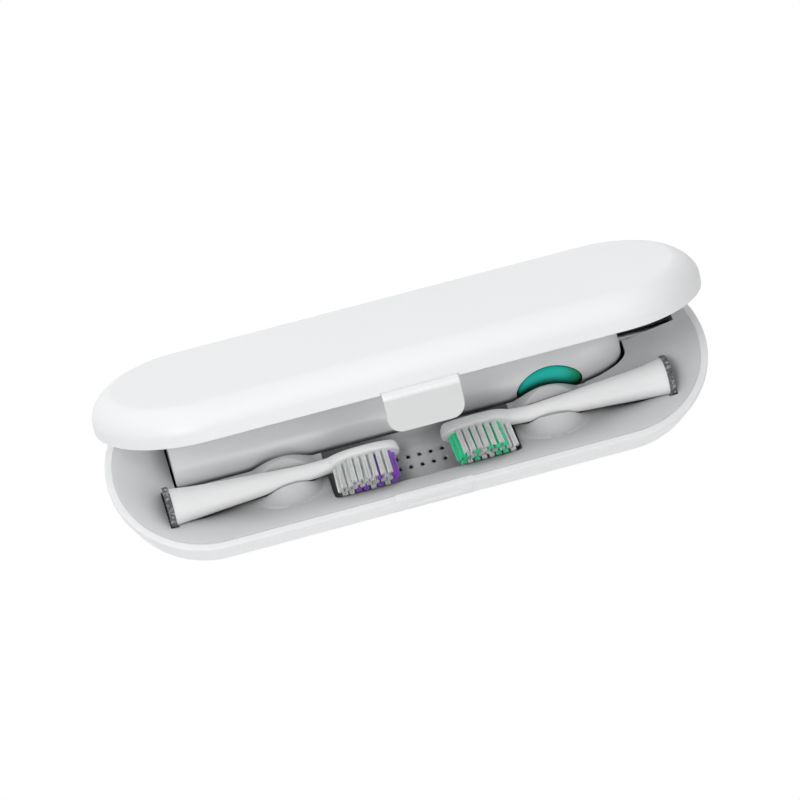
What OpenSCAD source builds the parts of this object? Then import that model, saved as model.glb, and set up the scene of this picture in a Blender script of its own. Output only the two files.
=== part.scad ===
// Electric toothbrush travel case: a hinged case with a formed tray that holds a toothbrush handle
// and two brush heads. The origin is the centre of the tub's flat underside. The case runs along X,
// the hinge is on the +Y side and the lid stands open.

/* [Case] */
// Thickness of the tub's wall
shell_wall = 2; // [1.4:0.1:2.4]
// Thickness of the tub's wall at the rim
rim_wall = 2.7; // [2.5:0.1:3.2]
// Height of the upright band below the tub's rim
tub_band = 2.8; // [1.5:0.1:4]
// Radius of the tub's rounded belly
belly_radius = 20; // [17:0.5:21]
// Slope of the tub's side below its band, in degrees
side_draft = 16.3; // [10:0.1:20]
// Angle at which the lid stands open, in degrees
lid_open = 40.4; // [35:0.1:45]
// Gap between the closed lid and the tub's rim
rim_gap = 0.3; // [0.2:0.05:0.5]

/* [Lid] */
// Thickness of the lid's wall
lid_wall = 2; // [1.6:0.1:2.4]
// Height of the lid's upright band
lid_band = 3.8; // [3.6:0.1:5]
// Height of the lid's dome above its band
dome_height = 8.1; // [7:0.1:11]
// Distance over which the dome falls off towards the edge
dome_inset = 8.8; // [7:0.1:12]

/* [Latch] */
// Width of the latch flap
latch_width = 28; // [22:0.5:34]
// Length of the latch flap below the lid's edge
latch_drop = 14.1; // [13.6:0.1:16]
// Thickness of the latch flap
latch_thickness = 1.6; // [1.2:0.1:2]
// Corner radius of the latch flap
latch_corner = 5; // [3:0.1:6]
// Radius of the latch flap's barrel
latch_barrel = 1.05; // [1:0.01:1.1]
// Radius of the latch pin
latch_pin_radius = 0.5; // [0.4:0.02:0.54]
// Angle at which the free flap stands off, in degrees
latch_rest = 5; // [4:0.5:7]
// Depth of the finger recess in the tub's front
latch_recess = 0.7; // [0.5:0.1:0.9]

/* [Hinge] */
// Radius of the hinge barrels
hinge_barrel = 2.3; // [2.1:0.05:2.5]
// Radius of the hinge pins
hinge_pin_radius = 0.9; // [0.7:0.05:1]
// Distance of each hinge from the middle of the case
hinge_place = 45; // [35:1:55]
// Width of the tub's knuckle
tub_knuckle = 10; // [8:0.5:14]
// Width of each of the lid's knuckles
lid_knuckle = 5; // [4:0.5:8]

/* [Tray] */
// Thickness of the tray's sheet
tray_wall = 1.2; // [0.9:0.05:1.3]
// Depth of the tray's edge below the rim
tray_edge_drop = 1; // [0.6:0.1:1.6]
// Depth of the tray's floor below the rim
tray_floor_drop = 6; // [5:0.1:7]
// Width over which the tray dishes up to its edge
dish_width = 14; // [10:0.5:16]
// Radius of the mounds that hold the heads' necks
mound_radius = 11.7; // [10:0.1:12.5]
// Height of the mounds above the tray's floor
mound_height = 7.3; // [6.5:0.1:8]
// Distance of a mound's middle from the head's plate
mound_space = 14.9; // [14:0.1:16]
// Distance of a mound's middle behind the heads' axis
mound_back = 1.1; // [0:0.1:1.5]
// Distance from a head's plate to the end of the bristle well
well_margin = 0.6; // [0.5:0.1:1.2]
// Depth of the bristle well below the rim
well_depth = 14; // [13:0.1:15]
// Radius of a drain hole
drain_radius = 0.9; // [0.6:0.05:1.1]
// Distance between drain holes
drain_pitch = 4.25; // [3.6:0.05:5]
// Number of drain holes in a row
drain_columns = 7; // [3:2:9]
// Number of rows of drain holes
drain_rows = 2; // [1:1:2]

/* [Handle] */
// Length of the toothbrush handle
handle_length = 166.9; // [162:0.1:172]
// Radius of the handle
handle_radius = 13.5; // [12.8:0.1:14]
// Height of the handle's top above the rim
handle_rise = 4; // [3.5:0.1:5]
// Thickness of the handle's wall
handle_wall = 1.8; // [1.5:0.1:2]
// Length of the handle's rounded shoulder
shoulder_length = 22.7; // [20:0.1:24]
// Radius of the handle's end face
shoulder_radius = 5.2; // [5:0.1:6]
// Distance between the handle and the outside of the case behind it
back_space = 12.15; // [11.5:0.05:13]
// Distance between the heads and the outside of the case in front of them
front_space = 14.25; // [13.5:0.05:16]
// Distance between the handle's base and the case's left end
left_space = 23.8; // [22:0.1:26]
// Length of the button
button_length = 24.3; // [20:0.1:26]
// Width of the button
button_width = 15.6; // [13:0.1:16]
// Height of the button above the handle's surface
button_rise = 1.5; // [1:0.1:1.8]
// Distance from the button's middle to the handle's end
button_inset = 29.1; // [27:0.1:34]
// Angle of the button above the level, in degrees
button_angle = 16; // [10:1:22]
// Play around the button
button_play = 0.3; // [0.2:0.05:0.4]

/* [Drive] */
// Radius of the drive shaft
shaft_radius = 1.75; // [1.5:0.05:1.9]
// Length of the shaft outside the handle
shaft_reach = 19.8; // [16:0.1:20]
// Radius of the battery cell
battery_radius = 7; // [6:0.1:7.2]
// Length of the battery cell
battery_length = 50; // [44:0.5:52]
// Radius of the motor
motor_radius = 8.6; // [7.6:0.1:9]
// Length of the motor
motor_length = 34; // [28:0.5:36]

/* [Heads] */
// Length of a brush head
head_length = 84.8; // [83:0.1:87]
// Radius of the ring at a head's base
ring_radius = 7.5; // [7.2:0.05:7.7]
// Width of the ring along the head
ring_width = 2.3; // [1.8:0.1:3]
// Radius of the head at its ring
base_radius = 6.9; // [6.5:0.05:7.1]
// Radius of the neck
neck_radius = 2.7; // [2.4:0.05:2.9]
// Length of the plate that carries the bristles
plate_length = 26; // [25:0.1:27]
// Width of the plate
plate_width = 11.4; // [11:0.1:12]
// Thickness of the plate
plate_thickness = 4.3; // [3.8:0.1:4.8]
// Gap between the handle and the heads
head_space = 2.1; // [1.9:0.1:3]
// Height of the heads' axis below the rim
head_drop = 1.7; // [1:0.1:2.2]
// Distance between the left head's base and the case's end
left_head_space = 17.9; // [17:0.1:19]
// Distance between the right head's base and the case's end
right_head_space = 17; // [16:0.1:18]
// Distance of the plate's face in front of the head's axis
plate_front = 1.6; // [1:0.1:2]

/* [Bristles] */
// Length of the bristles
bristle_length = 10.2; // [9:0.1:10.4]
// Distance between tufts along the head
tuft_pitch = 2.6; // [2.4:0.05:2.65]
// Distance between tufts across the head
row_pitch = 2; // [1.9:0.05:2.05]
// Distance of a tuft's strands from its middle
strand_spread = 0.62; // [0.5:0.02:0.7]
// Radius of a strand
strand_radius = 0.2; // [0.12:0.01:0.22]

/* [Hidden] */
$fn = 64;

// Overrun of every cut
cut = 1;
// Clearance between the tub and the tray
tray_gap = 0.3;
// Clearance under the tray's pocket
pocket_gap = 0.4;
// Clearance round what lies in the tray
lay_gap = 0.35;
// Running clearance of a pin or shaft in its hole
run_gap = 0.05;
// Clearance between parts that turn past each other
turn_gap = 0.3;
// Width of the ledge that carries the tray
ledge_width = 2.4;
// Height of the ledge's face
ledge_height = 1.5;
// Height of the tray's edge bead
bead_height = 2.3;
// Width of the tray's edge bead
bead_width = 1.8;
// Distance of the hinge axis outside the case's wall
hinge_out = 0.1;
// Distance of the hinge axis below the rim
hinge_drop = 0.7;
// Height of the web that joins a knuckle to its wall
knuckle_web = 3.6;
// Height above the hinge axis at which the lid's web starts
web_foot = 0.6;
// Distance of the latch's axis above the lid's lower edge
latch_lift = 1.05;
// Distance of the latch's barrel behind the lid's outside
latch_set = 0.25;
// Distance of the flap's rounded top below the lid's lower edge
flap_top_drop = 0.6;
// Thickness of the web between barrel and flap
latch_web = 0.85;
// Thickness of that web below its middle line
latch_web_low = 0.55;
// Distance of the web's foot below the middle of the flap's rounded top
latch_web_foot = 0.2;
// Chamfer of the rim behind the flap
rim_chamfer = 1.2;
// Length of the latch pin inside the lid on each side
latch_pin_seat = 4;
// Gap between the closed flap and the tub's recess
flap_gap = 0.5;
// Height of the recess below the flap
recess_foot = 1;
// Length of the flap's hook
hook_reach = 1.45;
// Height of the flap's hook
hook_height = 2.4;
// Distance of the hook from the flap's lower end
hook_place = 2.5;
// Gap between hook and catch rib
hook_gap = 0.3;
// Distance by which the catch rib overlaps the hook
catch_grip = 0.7;
// Height of the catch rib
catch_height = 1.4;
// Width of the catch rib and hook
catch_width = 20;
// Space round the shaft in its slot
slot_space = 1.25;
// Distance of the shaft's tip from the slot's end
slot_end = 1;
// Distance of the shaft's tip from the case's end
right_space = 9.5;
// Distance of the well's front edge from the tub's outside
well_front = 9.1;
// Distance of the well's back edge from the handle
well_back = 3.6;
// Distance over which the well's back slopes
well_slope = 3.6;
// Corner radius of the well
well_corner = 2;
// Distance of the button's bay from the handle's axis
bay_from = 9;
// Least distance between the tips of the two heads
tips_gap = 8;
// Distance of the back row of drain holes behind the heads' axis
drain_back = 1.7;

// Distance of the board's front face from the handle's axis
board_place = 7.4;
// Thickness of the circuit board
board_thickness = 1.2;
// Width of the circuit board
board_width = 14;
// Length of the board on the base side of the button's middle
board_length = 74;
// Length of the board beyond the button's middle
board_end = 10;
// Thickness of the button's membrane
membrane_thickness = 0.8;
// Clearance of pieces seated in the handle
seat_gap = 0.1;
// Width of the membrane around the button
membrane_edge = 1.2;
// Space between the membrane and the button
press_space = 0.8;
// Size of the switch
switch_size = 6;
// Gap between the switch and the membrane
switch_gap = 0.3;
// Distance of the battery's axis behind the handle's axis
battery_back = 1.5;
// Distance between the battery and the motor
drive_space = 15;
// Distance from the motor to the handle's end
motor_inset = 22.9;
// Clearance between the motor's flat and the board
motor_gap = 0.4;
// Length of the shaft inside the motor
shaft_root = 6;
// Thickness of the chassis's shell
chassis_wall = 1.4;
// Thickness of the chassis's bulkheads
bulkhead = 2;
// Distance of the chassis's edge in front of the handle's axis
chassis_edge = 4;
// Distance from the handle's base to the chassis
chassis_place = 14;
// Gap between a bulkhead and what it holds
bulkhead_gap = 0.3;
// Wall of the shaft's bush
bush_wall = 2.2;
// Length of the shaft's bush
bush_length = 5.8;
// Wall of the seal round the shaft
seal_wall = 2.1;
// Width of the seal's flange
seal_flange = 0.8;
// Thickness of the seal's flange
seal_thickness = 1.6;
// Distance of the seal's flange from the handle's end wall
seal_set = 0.4;
// Length of the base cap
cap_length = 6;
// Radius of the charging socket in the base
socket_radius = 3.4;
// Depth of the charging socket
socket_depth = 4.8;
// Thickness of the O-ring
seal_ring = 1.3;
// Distance of the O-ring from the handle's base
seal_place = 4.4;
// Length of the charging coil
coil_length = 5.7;
// Width of the coil's winding
coil_width = 5.5;
// Height of the flanges on the coil's former
coil_flange = 0.8;
// Depth of the flat on the shaft's end
shaft_flat = 0.5;
// Length of the flat on the shaft's end
shaft_flat_length = 8;

// Wall of the head's hollow base
head_wall = 1.2;
// Depth of the hollow in the head's base
hollow_depth = 22;
// Length of the socket sleeve
sleeve_length = 22;
// Distance of the socket sleeve from the head's base
sleeve_place = 10;
// Wall of the socket sleeve
sleeve_wall = 0.8;
// Corner radius of the plate
plate_corner = 5.4;
// Radius of the plate's rounded back
plate_round = 7.5;
// Depth of the seat for the bristles' backing
backing_depth = 0.8;
// Distance of the backing from the plate's edge
backing_inset = 0.4;
// Depth of a strand in the backing
strand_root = 0.4;
// Thickness of the blend between neck and plate
blend_thickness = 2.4;

// Number of strands in a tuft
tuft_strands = 6;
// Tufts of the left head from neck to tip, row by row from below: w is white, v is violet. The
// second and fourth rows stand half a pitch nearer the tip
left_tufts = ["  wwwwww ", " vvvwvwv ", "wwwwwwwwv", "     vwv ", "  wwwwww "];
// Tufts of the right head in the same order: w is white, g is green
right_tufts = ["  wwwwww ", " gggwgwg ", "wwwwwwwgg", " gggwgwg ", "  wwwwww "];

// Number of steps in a drawn curve
steps = 8;
// Number of sides of the button's oval
oval_sides = 48;
// Radius of the corner between the neck and the plate
blend_radius = 4.2;
// Power of the tray's dished edge
dish_power = 1.6;
// Power that shapes the lid's dome
dome_power = 1.6;
// Distances along a head at which its radius is given, as shares of its taper
taper_place_shares = [0, 0.135, 0.31, 0.49, 0.67, 0.85, 1];
// Fall of the radius from base to neck at those places, as shares
taper_fall_shares = [0, 0.275, 0.48, 0.7, 0.91, 1, 1];

// Heights and plan of the case
tub_height = shell_wall + pocket_gap + tray_wall + pocket_gap + handle_radius * 2 - handle_rise;
case_length = max(left_space + handle_length + shaft_reach + right_space,
  left_head_space + head_length * 2 + tips_gap + right_head_space);
half_width = (back_space + handle_radius * 2 + head_space + ring_radius * 2 + front_space) / 2;
spine = case_length / 2 - half_width;
draft_drop = tub_height - belly_radius + belly_radius * sin(side_draft);
arc_centre = half_width - (draft_drop - tub_band) * tan(side_draft) - belly_radius * cos(side_draft);
hinge_y = half_width + hinge_out;
hinge_z = tub_height - hinge_drop;
lid_bottom = tub_height + rim_gap;
dome_foot = lid_bottom + lid_band;
floor_z = tub_height - tray_floor_drop;
seam_radius = half_width - rim_wall - tray_gap;

// Places of what lies in the tray
handle_x = left_space - case_length / 2;
handle_y = half_width - back_space - handle_radius;
handle_z = tub_height + handle_rise - handle_radius;
head_y = handle_y - handle_radius - head_space - ring_radius;
head_z = tub_height - head_drop;
left_head_x = left_head_space - case_length / 2;
right_head_x = case_length / 2 - right_head_space;
well_left = left_head_x + head_length - plate_length - well_margin;
well_right = right_head_x - head_length + plate_length + well_margin;
well_y = well_front - half_width;
well_end = handle_y - handle_radius - well_back;
well_z = tub_height - well_depth;

// Latch
latch_y = latch_barrel + latch_set - half_width;
latch_z = lid_bottom + latch_lift;
flap_inner = latch_recess - half_width - flap_gap;
flap_bottom = lid_bottom - latch_drop;
notch_width = latch_width + turn_gap * 2;
catch_bottom = flap_bottom + hook_place + hook_height + hook_gap;

// Inside of the handle and of the heads
bore_radius = handle_radius - handle_wall;
button_place = handle_length - button_inset;
motor_place = handle_length - motor_inset - motor_length;
battery_place = motor_place - drive_space - battery_length;
shaft_start = motor_place + motor_length - shaft_root;
bush_place = motor_place + motor_length + bulkhead_gap + bulkhead;
membrane_outer = bore_radius - seat_gap;
taper_length = head_length - plate_length - ring_width;
plate_middle = head_length - plate_length / 2;
sleeve_radius = shaft_radius + run_gap + sleeve_wall;
sleeve_end = sleeve_place + sleeve_length;

// Distance from the case's middle line to the tub's side set in by o at height z
function tub_side_at(o, z) = z < tub_height - draft_drop
  ? arc_centre + sqrt(pow(belly_radius - o, 2) - pow(belly_radius - z, 2))
  : z < tub_height - tub_band
    ? half_width - (tub_height - tub_band - z) * tan(side_draft) - o / cos(side_draft)
    : half_width - o;

// Belly of the tub set in by o, from the floor up
function belly(o) = [for (i = [0:steps]) let (a = 90 - (90 - side_draft) * i / steps)
  [arc_centre + (belly_radius - o) * cos(a), belly_radius - (belly_radius - o) * sin(a)]];

// Side of the lid set in by o
function lid_side(o) = [for (i = [0:steps]) let (a = 90 * i / steps)
  [half_width - dome_inset + (dome_inset - o) * pow(cos(a), 2 / dome_power),
   dome_foot + (dome_height - o) * pow(sin(a), 2 / dome_power)]];

// Top of the tray's dished edge, from the seam inwards, set down by o
function dish(o) = [for (i = [0:steps]) let (s = dish_width * i / steps)
  [seam_radius - s, floor_z - o
    + (tray_floor_drop - tray_edge_drop) * pow(1 - i / steps, dish_power)]];

// Side of the handle set out by o, as radius and distance from its base
function handle_side(o) = concat(
  [[0, -o], [handle_radius + o, -o], [handle_radius + o, handle_length - shoulder_length]],
  [for (i = [1:steps]) let (a = 90 * i / steps)
    [shoulder_radius + o + (handle_radius - shoulder_radius) * cos(a),
     handle_length - shoulder_length + (shoulder_length + o) * sin(a)]],
  [[0, handle_length + o]]);

// Side of a head's taper set out by o, as radius and distance from its base
function taper(o) = [for (i = [0:len(taper_place_shares) - 1])
  [base_radius + o - (base_radius - neck_radius) * taper_fall_shares[i],
   ring_width + taper_length * taper_place_shares[i]]];

// Side of a whole head up to its plate set out by o
function head_side(o) = concat(
  [[0, -o], [ring_radius + o, -o], [ring_radius + o, ring_width + o], [base_radius + o, ring_width + o]],
  [for (q = taper(o)) if (q[1] > ring_width + o) q],
  [[0, ring_width + taper_length]]);

// Points closed down to the axis at their first and last heights
function closed(p) = concat([[0, p[0][1]]], p, [[0, p[len(p) - 1][1]]]);

// Points of an ellipse
function ellipse(l, w) = [for (i = [1:oval_sides]) let (a = 360 * i / oval_sides)
  [l / 2 * cos(a), w / 2 * sin(a)]];

// Solid of stadium plan with the closed side p
module stadium(p) {
  rotate([90, 0, 90]) linear_extrude(spine * 2, center = true) {
    polygon(p);
    mirror([1, 0]) polygon(p);
  }
  for (s = [-1, 1])
    translate([s * spine, 0, 0]) rotate([0, 0, -90 * s]) rotate_extrude(angle = 180) polygon(p);
}

// Body of revolution about the X axis
module turned(p) {
  rotate([0, 90, 0]) rotate_extrude() polygon(p);
}

// Cylinder along X that starts at x
module rod(r, x, l) {
  translate([x, 0, 0]) rotate([0, 90, 0]) cylinder(r = r, h = l);
}

// Prism along X, centred, whose section has the points p in Y and Z
module bar(p, l) {
  rotate([90, 0, 90]) linear_extrude(l, center = true) polygon(p);
}

// Space of a body of revolution that lifts straight out
module channel(p) {
  turned(p);
  linear_extrude(tub_height) {
    polygon([for (q = p) [q[1], q[0]]]);
    mirror([0, 1]) polygon([for (q = p) [q[1], q[0]]]);
  }
}

// Rounded rectangle
module rounded_rectangle(l, w, r) {
  for (x = [-1, 1], y = [-1, 1]) translate([x * (l / 2 - r), y * (w / 2 - r)]) circle(r);
  square([l - r * 2, w], center = true);
  square([l, w - r * 2], center = true);
}

// Places of the moving groups
module at_lid() {
  translate([0, hinge_y, hinge_z]) rotate([-lid_open, 0, 0]) translate([0, -hinge_y, -hinge_z]) children();
}
module at_latch() {
  at_lid() translate([0, latch_y, latch_z]) rotate([-latch_rest, 0, 0]) translate([0, -latch_y, -latch_z])
    children();
}
module at_handle() {
  translate([handle_x, handle_y, handle_z]) rotate([-button_angle, 0, 0]) children();
}
module at_left_head() {
  translate([left_head_x, head_y, head_z]) children();
}
module at_right_head() {
  translate([right_head_x, head_y, head_z]) mirror([1, 0, 0]) children();
}
module at_hinges() {
  for (s = [-1, 1]) translate([s * hinge_place, hinge_y, hinge_z]) children();
}

// Inside of the tub, with the ledge that carries the tray
module tub_cavity() {
  ledge_top = tub_height - tray_edge_drop - bead_height - tray_gap;
  ledge_bottom = ledge_top - ledge_height;
  ledge_foot = ledge_bottom - ledge_width;
  ledge_in = half_width - rim_wall - ledge_width;
  stadium(closed(concat(belly(shell_wall), [
    [tub_side_at(shell_wall, ledge_foot), ledge_foot],
    [ledge_in, ledge_bottom],
    [ledge_in, ledge_top],
    [half_width - rim_wall, ledge_top],
    [half_width - rim_wall, tub_height + cut]])));
}

// Shallow recess for the finger and the flap in the tub's front
module finger_recess() {
  foot = flap_bottom - recess_foot;
  mid = tub_height - draft_drop;
  bar([[-tub_side_at(latch_recess, foot), foot],
    [-tub_side_at(latch_recess, mid), mid],
    [latch_recess - half_width, tub_height - tub_band + latch_recess * tan(side_draft / 2)],
    [latch_recess - half_width, tub_height - rim_chamfer],
    [latch_recess - half_width + rim_chamfer, tub_height],
    [latch_recess - half_width + rim_chamfer, tub_height + cut],
    [-half_width - cut, tub_height + cut],
    [-half_width - cut, foot]], notch_width);
}

// Rib that the flap's hook snaps under
module catch_rib() {
  tip = flap_inner + hook_reach - catch_grip;
  root = latch_recess - tub_side_at(0, catch_bottom) + shell_wall / 2;
  bar([[root, catch_bottom], [tip, catch_bottom], [tip, catch_bottom + catch_height],
    [root, catch_bottom + catch_height + root - tip]], catch_width);
}

// Tub of the case
module case_shell() {
  color("white") difference() {
    union() {
      difference() {
        stadium(closed(concat(belly(0), [[half_width, tub_height - tub_band], [half_width, tub_height]])));
        finger_recess();
      }
      catch_rib();
      at_hinges() {
        rod(hinge_barrel, -tub_knuckle / 2, tub_knuckle);
        bar([[-rim_wall, 0], [hinge_barrel, 0], [-hinge_out, -knuckle_web], [-rim_wall, -knuckle_web]],
          tub_knuckle);
      }
    }
    tub_cavity();
    at_hinges() {
      rod(hinge_pin_radius + run_gap, -tub_knuckle / 2 - cut, tub_knuckle + cut * 2);
      for (s = [-1, 1]) translate([s * (tub_knuckle + lid_knuckle + turn_gap * 2) / 2, 0, 0])
        rod(hinge_barrel + turn_gap, -lid_knuckle / 2 - turn_gap, lid_knuckle + turn_gap * 2);
    }
  }
}

// Pins that join lid and tub
module hinge_pins() {
  span = tub_knuckle + lid_knuckle * 2 + turn_gap * 2;
  color("silver") at_hinges() rod(hinge_pin_radius, -span / 2, span);
}

// Lid with its knuckles, the notch for the flap and the holes for the flap's pin
module lid_shell() {
  place = (tub_knuckle + lid_knuckle + turn_gap * 2) / 2;
  color("white") at_lid() difference() {
    union() {
      difference() {
        stadium(closed(concat([[half_width, lid_bottom]], lid_side(0))));
        stadium(closed(concat([[half_width - lid_wall, lid_bottom - cut]], lid_side(lid_wall))));
      }
      at_hinges() for (s = [-1, 1]) translate([s * place, 0, 0]) {
        rod(hinge_barrel, -lid_knuckle / 2, lid_knuckle);
        bar([[0, 0], [sqrt(pow(hinge_barrel, 2) - pow(web_foot, 2)), web_foot], [-hinge_out, knuckle_web],
          [-hinge_out - lid_wall / 2, knuckle_web], [-hinge_out - lid_wall / 2, hinge_drop + rim_gap]],
          lid_knuckle);
      }
    }
    at_hinges() {
      rod(hinge_barrel + turn_gap, -tub_knuckle / 2 - turn_gap, tub_knuckle + turn_gap * 2);
      rod(hinge_pin_radius + run_gap, -place * 2, place * 4);
    }
    translate([0, latch_y, latch_z]) {
      rod(latch_barrel + turn_gap, -notch_width / 2, notch_width);
      translate([0, -latch_barrel, -latch_lift])
        cube([notch_width, latch_barrel * 2, latch_lift * 2], center = true);
      translate([0, 0, -latch_lift])
        cube([notch_width, (latch_barrel + turn_gap) * 2, latch_lift * 2], center = true);
      rod(latch_pin_radius + run_gap, -notch_width / 2 - latch_pin_seat, notch_width + latch_pin_seat * 2);
    }
  }
}

// Pin of the latch flap
module latch_pin() {
  length = notch_width + latch_pin_seat * 2 - seat_gap * 2;
  color("silver") at_lid() translate([0, latch_y, latch_z]) rod(latch_pin_radius, -length / 2, length);
}

// Side of the flap with its rounded top and the web to its barrel
function flap_side() =
  let (r = latch_thickness / 2, top = lid_bottom - flap_top_drop - r, middle = flap_inner - r,
    reach = norm([latch_y - middle, latch_z - top]), rise = latch_web - latch_web_low,
    along = [latch_y - middle, latch_z - top] / reach, up = [-along[1], along[0]],
    last = atan2(along[1], along[0]) + asin(rise / r))
  concat([[middle - r, flap_bottom]],
    [for (i = [0:steps]) let (a = 180 - (180 - last) * i / steps) [middle + r * cos(a), top + r * sin(a)]],
    [[latch_y, latch_z] + up * rise, [latch_y, latch_z] - up * latch_web_low,
     [flap_inner, top - latch_web_foot], [flap_inner, flap_bottom]]);

// Latch flap with its barrel, web and hook
module latch_tab() {
  tall = latch_z + latch_barrel - flap_bottom;
  color("white") at_latch() difference() {
    union() {
      intersection() {
        bar(flap_side(), latch_width);
        translate([0, latch_y, flap_bottom + tall / 2]) rotate([90, 0, 0])
          linear_extrude(latch_barrel + latch_thickness * 2) {
            translate([0, -latch_corner / 2])
              rounded_rectangle(latch_width, tall - latch_corner, latch_corner);
            translate([0, latch_corner / 2]) square([latch_width, tall - latch_corner], center = true);
          }
      }
      translate([0, latch_y, latch_z]) rod(latch_barrel, -latch_width / 2, latch_width);
      bar([[flap_inner - latch_thickness / 2, flap_bottom + hook_place],
        [flap_inner, flap_bottom + hook_place],
        [flap_inner + hook_reach, flap_bottom + hook_place + hook_reach],
        [flap_inner + hook_reach, flap_bottom + hook_place + hook_height],
        [flap_inner - latch_thickness / 2, flap_bottom + hook_place + hook_height]], catch_width);
    }
    translate([0, latch_y, latch_z])
      rod(latch_pin_radius + run_gap, -latch_width / 2 - cut, latch_width + cut * 2);
  }
}

// Space of the handle, its shaft and its button, set out by o
module handle_space(o) {
  translate([handle_x, handle_y, handle_z]) {
    channel(handle_side(lay_gap + o));
    channel([[0, handle_length],
      [shaft_radius + slot_space + o, handle_length],
      [shaft_radius + slot_space + o, handle_length + shaft_reach + slot_end + o],
      [0, handle_length + shaft_reach + slot_end + o]]);
    intersection() {
      channel([[0, button_place - button_length / 2 - lay_gap - o],
        [handle_radius + button_rise + lay_gap + o, button_place - button_length / 2 - lay_gap - o],
        [handle_radius + button_rise + lay_gap + o, button_place + button_length / 2 + lay_gap + o],
        [0, button_place + button_length / 2 + lay_gap + o]]);
      translate([0, -bay_from - tub_height, -tub_height]) cube([handle_length, tub_height, tub_height * 2]);
    }
  }
}

// Space of the two heads, set out by o
module head_spaces(o) {
  translate([left_head_x, head_y, head_z]) channel(head_side(lay_gap + o));
  translate([right_head_x, head_y, head_z]) mirror([1, 0, 0]) channel(head_side(lay_gap + o));
}

// Space of the bristle well, set out by o
module well_space(o) {
  scoop = [for (i = [0:steps]) let (a = 90 * i / steps)
    [well_end - well_slope + (well_slope + o) * sin(a), well_z - o + (floor_z - well_z + o) * (1 - cos(a))]];
  length = well_right - well_left + o * 2;
  width = well_end - well_y + o * 2;
  top = tub_height + cut;
  translate([(well_left + well_right) / 2, 0, 0]) intersection() {
    bar(concat([[well_y - o, well_z - o]], scoop, [[well_end + o, top], [well_y - o, top]]), length);
    translate([0, (well_y + well_end) / 2, well_z - o])
      linear_extrude(well_depth + cut * 2 + o) rounded_rectangle(length, width, well_corner);
  }
}

// Places of the two mounds
module at_mounds() {
  place = head_length - plate_length - mound_space;
  for (x = [left_head_x + place, right_head_x - place])
    translate([x, head_y + mound_back, floor_z]) children();
}

// Mound that holds a neck, set in by o
module mound(o) {
  rotate_extrude() polygon(concat([[0, -tray_wall - o]],
    [for (i = [0:steps]) let (a = 90 * i / steps)
      [(mound_radius - o) * cos(a), (mound_height - o) * sin(a) - (i == 0 ? tray_wall + o : 0)]]));
}

// Formed tray
module inner_tray() {
  bead_z = tub_height - tray_edge_drop - bead_height;
  bead_in = seam_radius - bead_width;
  color("lightgray") difference() {
    union() {
      stadium(concat(dish(0), [[0, floor_z], [0, floor_z - tray_wall]],
        [for (i = [steps:-1:1]) if (dish(0)[i][0] < bead_in) dish(tray_wall)[i]],
        [[bead_in, bead_z], [seam_radius, bead_z]]));
      intersection() {
        stadium(concat([[0, 0], [seam_radius, 0]], dish(0), [[0, floor_z]]));
        union() {
          handle_space(tray_wall);
          head_spaces(tray_wall);
          well_space(tray_wall);
        }
      }
      at_mounds() mound(0);
    }
    difference() {
      at_mounds() mound(tray_wall);
      handle_space(tray_wall);
      head_spaces(tray_wall);
    }
    handle_space(0);
    head_spaces(0);
    well_space(0);
    for (i = [0:drain_columns - 1], j = [0:drain_rows - 1])
      translate([(well_left + well_right) / 2 + (i - (drain_columns - 1) / 2) * drain_pitch,
        head_y + drain_back - j * drain_pitch, well_z - tray_wall - cut])
        cylinder(r = drain_radius, h = tray_wall + cut * 2);
  }
}

// Elliptical prism from the handle's axis out through its front, set out by o
module button_prism(o) {
  translate([button_place, 0, 0]) rotate([90, 0, 0])
    linear_extrude(handle_radius * 2) polygon(ellipse(button_length + o * 2, button_width + o * 2));
}

// Housing of the handle
module handle_shell() {
  color("white") at_handle() difference() {
    turned(handle_side(0));
    turned(handle_side(-handle_wall));
    rod(bore_radius, -cut, handle_wall * 2 + cut);
    rod(shaft_radius + seal_wall, handle_length - handle_wall - cut, handle_wall + cut * 2);
    button_prism(button_play);
  }
}

// Cap that closes the handle's base, with the charging socket
module base_cap() {
  color("white") at_handle() difference() {
    rod(bore_radius - seat_gap, 0, cap_length);
    rod(socket_radius, -cut, socket_depth + cut);
    difference() {
      rod(handle_radius, seal_place - seal_ring / 2 - seat_gap, seal_ring + seat_gap * 2);
      rod(bore_radius - seal_ring - seat_gap, 0, cap_length);
    }
  }
}

// O-ring of the base cap
module base_seal() {
  color("dimgray") at_handle() translate([seal_place, 0, 0]) rotate([0, 90, 0]) rotate_extrude()
    translate([bore_radius - seal_ring / 2 - run_gap, 0]) circle(seal_ring / 2 - run_gap, $fn = 12);
}

// Carrier of battery, motor and board
module chassis() {
  edge = bore_radius * 2;
  front = motor_gap - board_place + board_thickness;
  end = motor_place + motor_length + bulkhead_gap;
  color("gainsboro") at_handle() difference() {
    union() {
      intersection() {
        difference() {
          rod(bore_radius - seat_gap * 2, chassis_place, end + bulkhead - chassis_place);
          rod(bore_radius - seat_gap * 2 - chassis_wall, chassis_place - cut, end + cut * 2 + bulkhead);
        }
        translate([0, -chassis_edge, -edge]) cube([handle_length, edge + chassis_edge, edge * 2]);
      }
      intersection() {
        for (x = [battery_place - bulkhead_gap - bulkhead, battery_place + battery_length + bulkhead_gap,
            motor_place - bulkhead_gap - bulkhead, end])
          rod(bore_radius - seat_gap * 2, x, bulkhead);
        translate([0, front, -edge]) cube([handle_length, edge * 2, edge * 2]);
      }
      rod(shaft_radius + run_gap + bush_wall + seat_gap + chassis_wall, end, bulkhead + bush_length);
    }
    rod(shaft_radius + slot_space, end - cut, bush_length + bulkhead + cut * 2);
    rod(shaft_radius + run_gap + bush_wall + seat_gap, bush_place, bush_length + cut);
  }
}

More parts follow.
